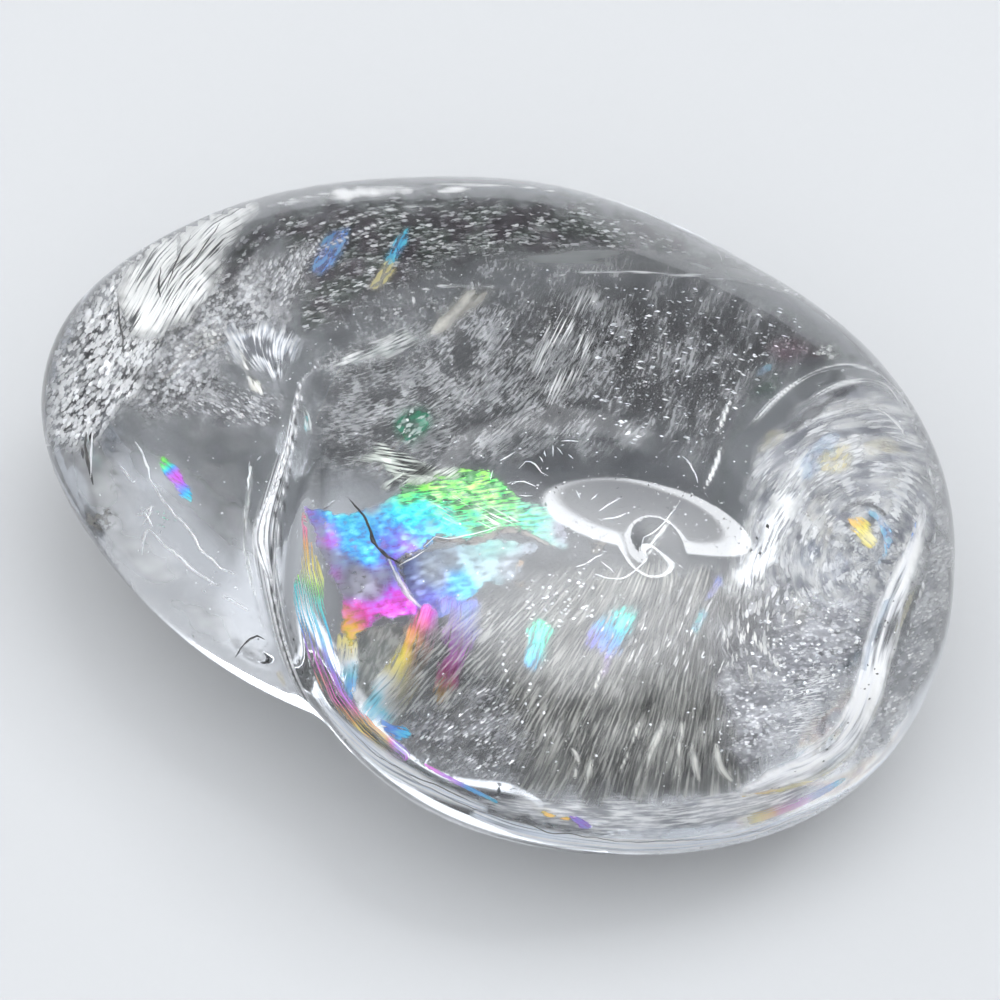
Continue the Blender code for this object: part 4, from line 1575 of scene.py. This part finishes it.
sheet(
    "rainbow_patch_green", GLOW_FILM, depth=4, flow=straight(70), fade=1.4, ragged=0.2, cell=3, seed=23,
    outline=((518, 668), (522, 638), (534, 616), (552, 618), (558, 640), (550, 662), (534, 678)),
    spots=((541, 630, 0.72, 0.8), (540, 642, 0.7, 0.9), (530, 650, 0.62, 0.8), (528, 662, 0.56, 0.5),
           (550, 650, 0.7, 0.2)),
)
sheet(
    "rainbow_patch_blue", GLOW_FILM, depth=4, flow=straight(60), fade=1.4, ragged=0.2, cell=3, seed=24,
    outline=((578, 646), (594, 618), (618, 602), (638, 608), (634, 640), (618, 664), (596, 682), (596, 660)),
    spots=((592, 638, 0.46, 0.5), (604, 632, 0.54, 0.8), (621, 618, 0.72, 0.9), (624, 632, 0.64, 0.9),
           (612, 646, 0.54, 0.6), (604, 664, 0.4, 0.5), (608, 620, 0.6, 0.4)),
)
sheet(
    "rainbow_patch_left", SOFT_FILM, depth=2.4, flow=straight(-35), fade=0.6, ragged=0.15, cell=3, seed=25,
    outline=((158, 458), (166, 454), (176, 466), (186, 476), (198, 494), (192, 506), (176, 500),
             (172, 486), (160, 472)),
    spots=((165, 461, 0.84, 1), (176, 478, 0.34, 1), (184, 474, 0.36, 1), (178, 488, 0.47, 1),
           (188, 496, 0.66, 1)),
)
GREEN_DUST = scales(
    "green_dust", 0.16, 0.1, 0.42, colours=((0.1, 0.8, 0.45), (0.5, 1, 0.8)), metal=0.3, tilt=0.35,
    ground=0, patch=0.8, size=0.38, seed=25.5,
)
sheet(
    "green_dust_left", GREEN_DUST, depth=3.5, fade=0.4, cell=4, seed=30,
    outline=((150, 500), (166, 502), (180, 515), (174, 526), (158, 522)),
)
GREEN_SCALES = scales(
    "green_scales", 0.42, 0.16, 0.5, colours=((0.75, 0.95, 0.88), (1, 1, 1)), metal=0.1, tilt=0.35,
    ground=0.95, between=((0, 0.22, 0.11), (0.01, 0.1, 0.06)), patch=0.6, size=0.36, seed=25.8,
)
sheet(
    "green_patch_middle", GREEN_SCALES, depth=2.6, flow=straight(30), fade=0.5, cell=3, seed=54,
    outline=((392, 424), (402, 408), (428, 400), (440, 410), (430, 432), (418, 448), (398, 446)),
)
OLIVE_LINES = veil(
    "olive_lines", 1.5, 0.09, 0.55, 0.9, colours=((0.5, 0.56, 0.48), (0.86, 0.9, 0.82)), metal=0.2,
    ground=0.7, between=((0.03, 0.035, 0.03), (0.16, 0.17, 0.14)), patch=1.2, sharp=0.08, seed=25.9,
)
sheet(
    "olive_lines_middle", OLIVE_LINES, depth=4.6, flow=straight(-8), fade=0.35, cell=4, seed=55,
    outline=((352, 462), (366, 446), (392, 444), (412, 452), (436, 466), (440, 476), (410, 480),
             (380, 470), (360, 470)),
)
sheet(
    "pale_lines_by_green", OLIVE_LINES, depth=4.8, flow=straight(34), fade=0.7, cell=4, seed=56,
    outline=((374, 492), (390, 470), (420, 456), (450, 460), (470, 476), (440, 486), (402, 494)),
)
sheet(
    "pale_lines_in_green", HAIRS, depth=4.6, flow=straight(-30), fade=0.8, ragged=0.4, cell=4, seed=152,
    outline=((420, 500), (450, 486), (490, 500), (520, 520), (500, 534), (450, 530)),
)

TINTS = film("faint_tints", 0.6, 0.2, metal=0, wander=0.1, gaps=0.36, gap_share=0.5, seed=31)
for index, (order, strength, turn, outline) in enumerate((
    (0.54, 0.42, 60, ((308, 274), (314, 244), (334, 226), (354, 226), (346, 254), (328, 276))),
    (0.6, 0.5, 60, ((384, 264), (390, 240), (404, 224), (413, 230), (406, 256), (394, 268))),
    (0.06, 0.42, 50, ((368, 287), (378, 266), (394, 256), (396, 270), (384, 287))),
    (0.06, 0.3, 40, ((752, 446), (764, 432), (786, 428), (788, 440), (770, 454), (756, 456))),
    (0.56, 0.32, 60, ((796, 480), (800, 452), (820, 432), (842, 432), (836, 456), (812, 484))),
    (0.08, 0.38, 40, ((812, 462), (826, 446), (846, 440), (856, 454), (846, 474), (822, 478))),
    (0.08, 0.25, 40, ((800, 520), (808, 494), (826, 486), (834, 500), (822, 520), (806, 532))),
    (0.08, 0.32, -10, ((862, 442), (884, 434), (908, 444), (912, 458), (888, 456), (868, 456))),
    (0.56, 0.22, 60, ((796, 560), (802, 538), (820, 526), (830, 540), (820, 560), (804, 572))),
    (0.54, 0.22, 60, ((824, 580), (830, 556), (850, 550), (856, 566), (846, 580), (834, 588))),
    (0.08, 0.25, 70, ((812, 540), (818, 524), (832, 516), (838, 528), (830, 544), (820, 550))),
    (0.06, 0.22, 75, ((790, 630), (792, 604), (800, 590), (812, 600), (808, 626), (800, 644))),
    (0.6, 0.35, 40, ((754, 374), (764, 366), (774, 362), (772, 368), (760, 376))),
    (0.5, 0.4, 60, ((700, 606), (708, 588), (718, 576), (722, 584), (712, 600))),
    (0.63, 0.4, 60, ((690, 626), (700, 612), (708, 612), (704, 624), (694, 632))),
    (0.11, 0.35, -50, ((274, 672), (280, 668), (288, 680), (284, 688), (276, 682))),
    (0.15, 0.9, -8, ((534, 810), (548, 812), (572, 817), (568, 822), (548, 818))),
    (0.45, 0.6, -30, ((568, 815), (580, 816), (592, 826), (584, 830), (572, 824))),
    (0.64, 0.5, 80, ((300, 428), (304, 410), (312, 412), (312, 428), (306, 436))),
)):
    middle = np.mean(outline, 0)
    sheet(
        f"tint_{index}", TINTS, outline, depth=1.4, flow=straight(turn), fade=1, ragged=0.15, cell=3,
        seed=110 + index, spots=((*middle, order, strength),),
    )
sheet(
    "orange_eye", GLOW_FILM, depth=3, flow=straight(-40), fade=0.8, ragged=0.1, cell=3, seed=57,
    outline=((844, 520), (854, 514), (868, 516), (878, 530), (880, 548), (868, 552), (854, 540)),
    spots=((856, 526, 0.18, 0.6), (864, 532, 0.08, 0.9), (870, 540, -0.04, 0.8), (868, 548, 0.16, 0.7)),
)
sheet(
    "blue_ring_by_eye", TINTS, depth=3.2, flow=straight(-60), fade=0.4, ragged=0.1, cell=3, seed=99,
    outline=((862, 508), (880, 512), (894, 534), (892, 556), (876, 564), (880, 546), (874, 524)),
    spots=((880, 540, 0.57, 0.45),),
)
PLUM = scales(
    "plum_veil", 0.2, 0.12, 0.25, colours=((0.8, 0.75, 0.78), (1, 1, 1)), metal=0.3, tilt=0.35, ground=0.62,
    between=((0.13, 0.06, 0.09), (0.2, 0.09, 0.13)), patch=0.8, size=0.34, seed=58,
)
sheet(
    "plum_patch_right", PLUM, depth=3, fade=0.6, seed=58,
    outline=((764, 350), (778, 336), (798, 332), (818, 346), (820, 358), (800, 366), (778, 368)),
)
MOSS = scales(
    "moss_veil", 0.2, 0.12, 0.2, colours=((0.7, 0.8, 0.75), (1, 1, 1)), metal=0.3, tilt=0.35, ground=0.6,
    between=((0.02, 0.07, 0.045), (0.05, 0.1, 0.07)), patch=0.8, size=0.34, seed=59,
)
sheet(
    "moss_patch_right", MOSS, depth=3, fade=0.5, seed=59,
    outline=((746, 396), (758, 382), (776, 372), (786, 380), (776, 396), (760, 404)),
)
sheet(
    "moss_patch_edge", MOSS, depth=1.5, fade=0.5, seed=60,
    outline=((816, 340), (840, 344), (866, 358), (850, 364), (826, 358)),
)
sheet(
    "flare_right", CREAM_BEADS, depth=1.5, fade=0.4, ragged=0.2, cell=3, seed=98,
    outline=((814, 356), (820, 342), (834, 342), (844, 352), (840, 362), (826, 364)),
)

RIM_FILM = film("rim_film", 5, 0.06, metal=0.1, wander=0.05, gap_share=0.1, seed=32)
strip(
    "rim_film_bottom", RIM_FILM, depth=0.8, fade=0.4, seed=133,
    line=((560, 828), (620, 834), (690, 832), (745, 822), (790, 807), (826, 790), (850, 776)),
    widths=(6, 14, 16, 16, 16, 14, 6),
    spots=((570, 830, 0.58, 0.1), (620, 834, 0.6, 0.2), (690, 832, 0.6, 0.25), (728, 826, 0.66, 0.2),
           (744, 822, 0.04, 0.3), (756, 818, 0.1, 0.5), (768, 814, 0.14, 0.5), (784, 808, 0.3, 0.4),
           (795, 803, 0.38, 0.4), (822, 792, 0.54, 0.4), (844, 788, 0.6, 0.6)),
)
strip(
    "rim_film_left", RIM_FILM, depth=0.8, fade=0.1, seed=134,
    line=((424, 764), (446, 777), (470, 789), (500, 804)),
    widths=(4, 6, 6, 4),
    spots=((430, 768, 0.36, 0.7), (450, 780, 0.42, 0.7), (474, 792, 0.56, 0.6), (496, 802, 0.6, 0.5)),
)
# Blue and cream fringes on the two sides of the band of light along the right rim: painted light split into
# colours, drawn with a film's colours.
BAND_FRINGES = film("painted_band_fringes", 3, 0.2, metal=0.2, wander=0.03, gap_share=0.6, seed=19)
strip(
    "painted_blue_fringe_right", BAND_FRINGES, depth=1.1, fade=0.3, seed=147,
    line=((906, 550), (892, 590), (872, 640), (858, 690), (838, 728), (806, 752), (776, 768)),
    widths=(6, 9, 9, 9, 9, 9, 5),
    spots=((900, 560, 0.6, 0.35), (872, 640, 0.57, 0.28), (858, 690, 0.58, 0.28), (806, 752, 0.6, 0.3)),
)
strip(
    "painted_cream_fringe_right", BAND_FRINGES, depth=1.1, fade=0.3, seed=148,
    line=((930, 545), (918, 580), (902, 620), (888, 660), (878, 700), (858, 745), (820, 776), (780, 790),
          (740, 797)),
    widths=(3, 7, 9, 9, 9, 9, 9, 9, 5),
    spots=((924, 560, -0.02, 0.4), (900, 625, 0.02, 0.4), (880, 700, 0.04, 0.4), (850, 750, 0.02, 0.4),
           (800, 784, 0.06, 0.45), (760, 794, 0.14, 0.45)),
)
# A blue line on the inner side of the band of light: a painted fringe of split light, drawn with the rim
# film's colours.
strip(
    "painted_blue_fringe_upper", RIM_FILM, depth=1.2, fade=0.12, seed=135,
    line=((917, 519), (914, 535), (909, 558), (900, 580)),
    widths=(2, 5, 8, 4),
    spots=((914, 535, 0.54, 0.8), (908, 558, 0.6, 0.9)),
)

# ---------------------------------------------------------------- cracks

BRIGHT_WALL = plain_inclusion("crack_bright", (1, 1, 1), (0.9, 0.92, 0.95), 0.35, metal=0.3)
DARK_WALL = plain_inclusion("crack_dark", (0.02, 0.02, 0.02), (0.05, 0.045, 0.04), 0.5)

cracks(
    "crack_lines_left", BRIGHT_WALL, depth=2.4, radius=0.05, jitter=2, seed=31,
    lines=(
        ((150, 479), (164, 502), (185, 527), (199, 546), (210, 558), (222, 571), (233, 574)),
        ((149, 529), (162, 544), (175, 554), (185, 562), (200, 576), (216, 586)),
        ((224, 594), (236, 602), (248, 610)),
        ((149, 530), (144, 543), (142, 555)),
        ((137, 516), (146, 512), (153, 506)),
        ((141, 506), (147, 515), (151, 526)),
        ((143, 522), (148, 512), (150, 504)),
        ((136, 442), (142, 456), (148, 468), (152, 482)),
        ((119, 467), (126, 474), (131, 482)),
        ((251, 463), (250, 478), (249, 490)),
        ((255, 461), (260, 456)),
    ),
)
cracks(
    "crack_lines_dark_left", DARK_WALL, depth=0.6, radius=0.04, jitter=2, seed=32,
    lines=(
        ((118, 295), (121, 325), (123, 352)),
        ((160, 266), (161, 284), (162, 302)),
        ((235, 658), (239, 648), (247, 641), (256, 636), (264, 640)),
        ((190, 235), (176, 262), (166, 290)),
        ((222, 222), (204, 246), (190, 270)),
    ),
)
cracks(
    "black_streak_left", DARK_WALL, depth=0.6, radius=0.11, jitter=1.5, seed=38,
    lines=(
        ((86, 432), (85, 446), (87, 458), (89, 472), (93, 485)),
        ((92, 434), (90, 442)),
        ((83, 448), (84, 460)),
    ),
)
cracks(
    "white_edge_left", BRIGHT_WALL, depth=0.5, radius=0.07, jitter=1, seed=39,
    lines=(((92, 430), (91, 446), (90, 462), (90, 478)), ((43, 431), (44, 440), (44, 448))),
)
cracks(
    "fracture_edge_dark", DARK_WALL, depth=4.2, radius=0.06, jitter=2, seed=33,
    lines=(((349, 499), (360, 514), (372, 530), (378, 546), (386, 556), (399, 563)),),
)
BROWN_BAND = veil(
    "brown_band", 0.5, 0.2, 0.95, 0.95, colours=((0.15, 0.13, 0.125), (0.3, 0.27, 0.25)), roughness=0.7,
    patch=0.8, seed=34,
)
strip(
    "fracture_ledge", BROWN_BAND, depth=4.3, fade=0.06, ragged=0.06, seed=34,
    line=((399, 564), (408, 556), (422, 548), (430, 541), (442, 537), (464, 541), (487, 537), (500, 531),
          (516, 530), (532, 536), (546, 543), (556, 548)),
    widths=(4, 5, 5, 7, 8, 7, 8, 8, 8, 6, 5, 2),
)
strip(
    "fracture_ledge_left", PALE, depth=4.6, fade=0.1, ragged=0.05, seed=136,
    line=((386, 556), (394, 572), (402, 586), (414, 602), (422, 608)),
    widths=(4, 7, 8, 6, 3),
)
cracks(
    "fracture_edge_pale", BRIGHT_WALL, depth=4.2, radius=0.025, jitter=1.5, seed=40,
    lines=(
        ((422, 546), (436, 536), (450, 538), (470, 534), (488, 529), (500, 526)),
        ((399, 566), (412, 558), (424, 550)),
    ),
)
AMBER_STAIN = veil(
    "amber_stain", 0.5, 0.3, 0.7, 0.7, colours=((0.24, 0.15, 0.08), (0.44, 0.3, 0.18)), roughness=0.6,
    patch=0.6, sharp=0.3, seed=36,
)
sheet(
    "brown_spots_middle", AMBER_STAIN, depth=4.6, fade=0.15, cell=3, seed=137,
    outline=((515, 560), (522, 554), (526, 564), (520, 572), (524, 584), (517, 586), (514, 574)),
)
cracks(
    "white_marks_centre", BRIGHT_WALL, depth=2.4, radius=0.028, jitter=2.5, seed=41,
    lines=(
        ((519, 467), (526, 461), (532, 462), (540, 471), (549, 475)),
        ((540, 454), (543, 460)),
        ((546, 450), (548, 458)),
        ((551, 445), (553, 456)),
        ((559, 442), (567, 440), (576, 441)),
        ((571, 452), (575, 457)),
        ((558, 447), (564, 455)),
        ((508, 484), (522, 483), (536, 486)),
        ((519, 495), (532, 495)),
        ((502, 462), (510, 456), (516, 451)),
        ((492, 478), (495, 470)),
        ((576, 568), (588, 560), (604, 553)),
        ((594, 574), (606, 577), (618, 578), (636, 568), (648, 558)),
        ((646, 556), (640, 545), (642, 536), (652, 528), (664, 519), (674, 510), (680, 502)),
        ((602, 560), (608, 566), (614, 572)),
        ((684, 456), (692, 463), (697, 472), (699, 481)),
        ((603, 522), (612, 519), (624, 513)),
        ((575, 492), (580, 500)),
        ((590, 500), (598, 494)),
        ((600, 510), (610, 502), (620, 496)),
    ),
)
sheet(
    "pale_ledge_centre", PALE, depth=2.6, flow=straight(48), fade=0.2, ragged=0.12, cell=3, seed=138,
    outline=((634, 548), (644, 536), (660, 524), (678, 505), (676, 520), (662, 538), (650, 556), (640, 566)),
)
sheet(
    "brown_smudge_centre", SMUDGE, depth=2.4, fade=0.15, cell=3, seed=139,
    outline=((588, 548), (592, 541), (600, 541), (604, 546), (594, 552)),
)
sheet(
    "brown_smudge_ring", SMUDGE, depth=2.4, fade=0.15, cell=3, seed=140,
    outline=((650, 552), (656, 542), (664, 536), (662, 544), (654, 554)),
)
BLADE = veil(
    "pale_blade", 1.4, 0.2, 0.97, 0.95, colours=((0.85, 0.86, 0.86), (1, 1, 0.97)), metal=0.3, patch=1.4,
    seed=35,
)
strip(
    "blade_right_upper", BLADE, depth=2, fade=0.08, seed=141,
    line=((732, 399), (727, 408), (721, 424), (716, 434)),
    widths=(2, 5, 5, 2),
)
strip(
    "blade_right_lower", BLADE, depth=2, fade=0.1, seed=142,
    line=((722, 446), (717, 462), (710, 478), (702, 492)),
    widths=(4, 7, 6, 2),
)
RIDGE = veil(
    "ridge_line", 2.5, 0.09, 0.72, 0.75, colours=((0.6, 0.61, 0.62), (1, 1, 1)), patch=2, sharp=0.25,
    seed=36,
)
# The last of these lines, along the top rim, is a painted highlight: a light reflected at the rim.
for index, (line, widths) in enumerate((
    (((382, 300), (412, 292), (437, 287), (458, 285), (496, 286)), (2, 3, 4, 4, 2)),
    (((535, 281), (563, 275), (600, 271), (657, 273), (714, 277), (765, 285), (797, 294), (817, 307),
      (850, 335)),
     (2, 3, 4, 4, 4, 4, 4, 3, 2)),
    (((296, 282), (304, 262), (314, 246), (334, 223)), (2, 5, 5, 2)),
    (((411, 286), (413, 298), (415, 310)), (1, 3, 1)),
    (((300, 262), (318, 250), (340, 240), (372, 226), (400, 214)), (2, 4, 4, 4, 2)),
    (((330, 226), (360, 216), (400, 208), (450, 205), (500, 205)), (2, 4, 4, 3, 2)),
    (((236, 214), (300, 198), (360, 190), (430, 185), (500, 185), (560, 192), (620, 206)),
     (2, 5, 7, 6, 5, 3, 2)),
)):
    strip(f"ridge_line_{index}", RIDGE, line, widths, depth=1, fade=0.1, seed=160 + index)
# Dark lines along the bottom rim, drawn as cracks: painted shade between the rim's lines of light.
cracks(
    "painted_rim_shade_lines", DARK_WALL, depth=0.5, radius=0.03, jitter=1.5, seed=37,
    lines=(
        ((372, 752), (420, 785), (480, 812), (547, 832), (620, 842), (700, 842), (765, 830), (820, 808)),
        ((345, 726), (376, 756), (420, 780), (470, 802), (520, 820)),
    ),
)

# ---------------------------------------------------------------- specks

SPECK = plain_inclusion("bright_speck", (1, 1, 1), (0.9, 0.92, 0.95), 0.3, metal=0.4)
SOOT = plain_inclusion("dark_speck", (0.01, 0.01, 0.01), (0.03, 0.03, 0.03), 0.5)

EVERYWHERE = (
    (70, 430), (130, 300), (260, 225), (450, 212), (640, 235), (800, 320), (910, 430), (935, 560),
    (880, 700), (760, 800), (560, 810), (400, 740), (320, 640), (180, 600),
)
speck_cloud(
    "specks_all_over", SPECK, EVERYWHERE, count=900, sizes=(0.05, 0.12), depths=(0.6, 9), seed=41,
)
speck_cloud(
    "specks_upper_right", SPECK, count=190, sizes=(0.08, 0.2), depths=(1, 6), seed=44, stretch=2,
    outline=((600, 290), (700, 285), (790, 305), (800, 350), (750, 400), (700, 440), (620, 440), (590, 380)),
)
speck_cloud(
    "specks_lower_right", SPECK, count=150, sizes=(0.1, 0.2), depths=(1, 5), seed=47,
    outline=((745, 640), (790, 595), (850, 600), (860, 650), (820, 690), (770, 690)),
)
speck_cloud(
    "specks_right_wide", SPECK, count=160, sizes=(0.06, 0.14), depths=(1, 5), seed=50,
    outline=((720, 700), (790, 690), (860, 640), (880, 700), (820, 770), (740, 790)),
)
speck_cloud(
    "specks_below_film", SPECK, count=60, sizes=(0.08, 0.18), depths=(1, 5), seed=53,
    outline=((520, 590), (570, 570), (600, 590), (590, 620), (540, 625)),
)
speck_cloud(
    "dark_specks_band", SOOT, count=150, sizes=(0.06, 0.14), depths=(0.4, 1.5), seed=56,
    outline=((925, 545), (932, 560), (905, 620), (880, 690), (850, 745), (800, 785), (770, 790),
             (830, 740), (860, 680), (885, 610)),
)
BEAD_CHAIN = (
    (503, 642), (504, 655), (503, 664), (506, 671), (508, 680), (507, 690), (541, 668), (545, 660),
    (529, 690), (540, 696), (518, 699), (538, 705), (544, 713), (522, 722), (530, 684), (526, 704),
    (548, 752), (552, 743), (556, 762), (545, 735),
)
bead_sizes = np.full(len(BEAD_CHAIN), 0.16)
flakes("bead_chain", SPECK, inside(BEAD_CHAIN, 3), bead_sizes, seed=59)
DARK_DOTS = (
    (671, 510), (768, 526), (757, 538), (747, 547), (751, 550), (760, 553), (413, 736), (668, 508),
    (258, 639),
)
dot_sizes = np.linspace(0.28, 0.16, len(DARK_DOTS))
flakes("dark_dots", SOOT, inside(DARK_DOTS, 1), dot_sizes, seed=60)

# ---------------------------------------------------------------- the stage

FLOOR_GAP, FLOOR_HALF = 0.1, 700.0
FLOOR_COLOUR, FLOOR_ROUGHNESS = (0.27, 0.274, 0.278, 1.0), 0.8
SKY_TINT = (0.98, 1.0, 1.03)
EDGE_OF_ARC, EDGE_OF_STRIP = 0.1, 0.04  # how softly a band of light ends


def lay_floor():
    material, nodes, output = blank_material("pale_floor")
    shader = nodes.add("ShaderNodeBsdfPrincipled", None, Base_Color=FLOOR_COLOUR, Roughness=FLOOR_ROUGHNESS)
    nodes.feed(shader.outputs[0], output.inputs["Surface"])
    corners = [(x * FLOOR_HALF, y * FLOOR_HALF, -FLOOR_GAP) for x, y in ((-1, -1), (1, -1), (1, 1), (-1, 1))]
    mesh_piece("floor", corners, [(0, 1, 2, 3)], material)


class Sky:
    """Soft lights far away, drawn in the world's shader by their directions.

    It is worked out once for every ray that leaves the scene, so each light is only a few nodes.
    """

    def __init__(self, low, high):
        world = bpy.data.worlds.new("studio")
        bpy.context.scene.world = world
        world.use_nodes = True
        world.cycles.sampling_method = "NONE"  # its light is found by the rays themselves, which is quicker
        world.node_tree.nodes.clear()
        self.nodes = Nodes(world.node_tree)
        self.heading = self.nodes.add("ShaderNodeTexCoord").outputs["Generated"]
        parts = self.nodes.add("ShaderNodeSeparateXYZ", None, Vector=self.heading)
        self.height = parts.outputs[2]
        self.total = self.nodes.smooth(self.height, 0.0, 1.0, low, high)
        self.fringes = None

    def near(self, azimuth, elevation, radius, soft, strength=1.0):
        """The strength within this radius of a direction, fading to none over soft."""
        away = self.nodes.vector("DISTANCE", self.heading, tuple(direction_of(azimuth, elevation)))
        return self.nodes.smooth(away, radius, radius + soft, strength, 0.0)

    def add(self, amount):
        self.total = self.nodes.math("ADD", self.total, amount)

    def spot(self, azimuth, elevation, radius, soft, strength):
        self.add(self.near(azimuth, elevation, radius, soft, strength))

    def arc(self, azimuth, elevation, radius, thickness, soft, strength):
        """A level band of light about a direction."""
        above = self.nodes.math("SUBTRACT", self.height, math.sin(math.radians(elevation)))
        off = self.nodes.math("ABSOLUTE", above)
        band = self.nodes.smooth(off, thickness, thickness + soft, strength, 0.0)
        self.add(self.nodes.math("MULTIPLY", band, self.near(azimuth, elevation, radius, EDGE_OF_ARC)))

    def strip(self, azimuth, elevation, radius, thickness, soft, strength, tilt, fringe):
        """A thin tilted strip, with its red shifted one way and its blue the other."""
        centre, turn = direction_of(azimuth, elevation), math.radians(tilt)
        level = direction_of(azimuth + 90, 0)
        upright = np.cross(centre, level) * math.cos(turn) - level * math.sin(turn)
        above = self.nodes.vector("DOT_PRODUCT", self.heading, tuple(upright))
        reach = self.near(azimuth, elevation, radius, EDGE_OF_STRIP)
        channels = []
        for shift in (-fringe, 0.0, fringe):
            off = self.nodes.math("ABSOLUTE", self.nodes.math("SUBTRACT", above, shift))
            band = self.nodes.smooth(off, thickness, thickness + soft, strength, 0.0)
            channels.append(self.nodes.math("MULTIPLY", band, reach))
        red, green, blue = channels
        joined = self.nodes.add("ShaderNodeCombineColor", None, Red=red, Green=green, Blue=blue)
        self.fringes = joined.outputs[0]

    def oval(self, overhead, centre, half_sizes, tilt, soft):
        """1 inside an oval drawn on the plane overhead, and 0 outside it."""
        turn = math.radians(tilt)
        axes = ((math.cos(turn), math.sin(turn), 0), (-math.sin(turn), math.cos(turn), 0))
        squares = []
        for axis, half in zip(axes, half_sizes):
            middle = (centre[0] * axis[0] + centre[1] * axis[1]) / half
            place = self.nodes.vector("DOT_PRODUCT", overhead, tuple(part / half for part in axis))
            off = self.nodes.math("SUBTRACT", place, middle)
            squares.append(self.nodes.math("MULTIPLY", off, off))
        return self.nodes.smooth(self.nodes.math("ADD", *squares), 1.0 - soft, 1.0 + soft, 1.0, 0.0)

    def ring_lamp(self, outer, inner, strength, middle_share):
        """A ring lamp overhead, between two ovals, with a dimmer diffuser in its middle."""
        upward = self.nodes.math("MAXIMUM", self.height, 0.05)
        scale = self.nodes.math("DIVIDE", 1.0, upward)
        overhead = self.nodes.vector("SCALE", self.heading)
        self.nodes.feed(scale, overhead.node.inputs["Scale"])
        outer = self.oval(overhead, **outer)
        inner = self.oval(overhead, **inner)
        band = self.nodes.math("SUBTRACT", outer, self.nodes.math("MULTIPLY", inner, 1.0 - middle_share))
        self.add(self.nodes.math("MULTIPLY", self.nodes.math("MULTIPLY", band, outer), strength))

    def finish(self):
        tinted = self.nodes.vector("MULTIPLY", SKY_TINT)
        self.nodes.feed(self.total, tinted.node.inputs[1])
        colour = self.nodes.vector("ADD", tinted, self.fringes)
        background = self.nodes.add("ShaderNodeBackground", None, Color=colour, Strength=1.0)
        output = self.nodes.add("ShaderNodeOutputWorld")
        self.nodes.feed(background.outputs[0], output.inputs["Surface"])


sky = Sky(low=0.26, high=0.32)
sky.spot(azimuth=38, elevation=34, radius=0.4, soft=0.35, strength=0.58)
sky.spot(azimuth=162, elevation=36, radius=0.3, soft=0.4, strength=0.65)
sky.spot(azimuth=-70, elevation=58, radius=0.32, soft=0.6, strength=6.3)
sky.spot(azimuth=64, elevation=44, radius=0.06, soft=0.08, strength=0.35)
sky.arc(azimuth=128, elevation=57, radius=0.4, thickness=0.02, soft=0.03, strength=2.2)
sky.strip(
    azimuth=166, elevation=34, radius=0.165, thickness=0.01, soft=0.014, strength=0.6, tilt=-30, fringe=0.003,
)
sky.ring_lamp(
    strength=14, middle_share=0.25,
    outer=dict(centre=(0.31, 0.175), half_sizes=(0.385, 0.205), tilt=9, soft=0.1),
    inner=dict(centre=(0.25, 0.185), half_sizes=(0.285, 0.15), tilt=2, soft=0.2),
)
sky.finish()
lay_floor()

NEAREST_SEEN = 0.001
camera_data = bpy.data.cameras.new("camera")
camera_data.lens, camera_data.sensor_width, camera_data.clip_start = CAMERA_LENS, SENSOR, NEAREST_SEEN
camera = bpy.data.objects.new("camera", camera_data)
bpy.context.scene.collection.objects.link(camera)
camera.location = Vector(EYE) * MM
camera.rotation_mode = "QUATERNION"
camera.rotation_quaternion = Vector(-BACK).to_track_quat("-Z", "Y")
bpy.context.scene.camera = camera
bpy.context.scene.view_settings.view_transform = "Standard"
GLASS_BOUNCES, FLOOR_BOUNCES, SHEETS_SEEN_THROUGH = 12, 3, 48
cycles = bpy.context.scene.cycles
cycles.max_bounces = cycles.transmission_bounces = GLASS_BOUNCES
cycles.diffuse_bounces = FLOOR_BOUNCES
cycles.transparent_max_bounces = SHEETS_SEEN_THROUGH
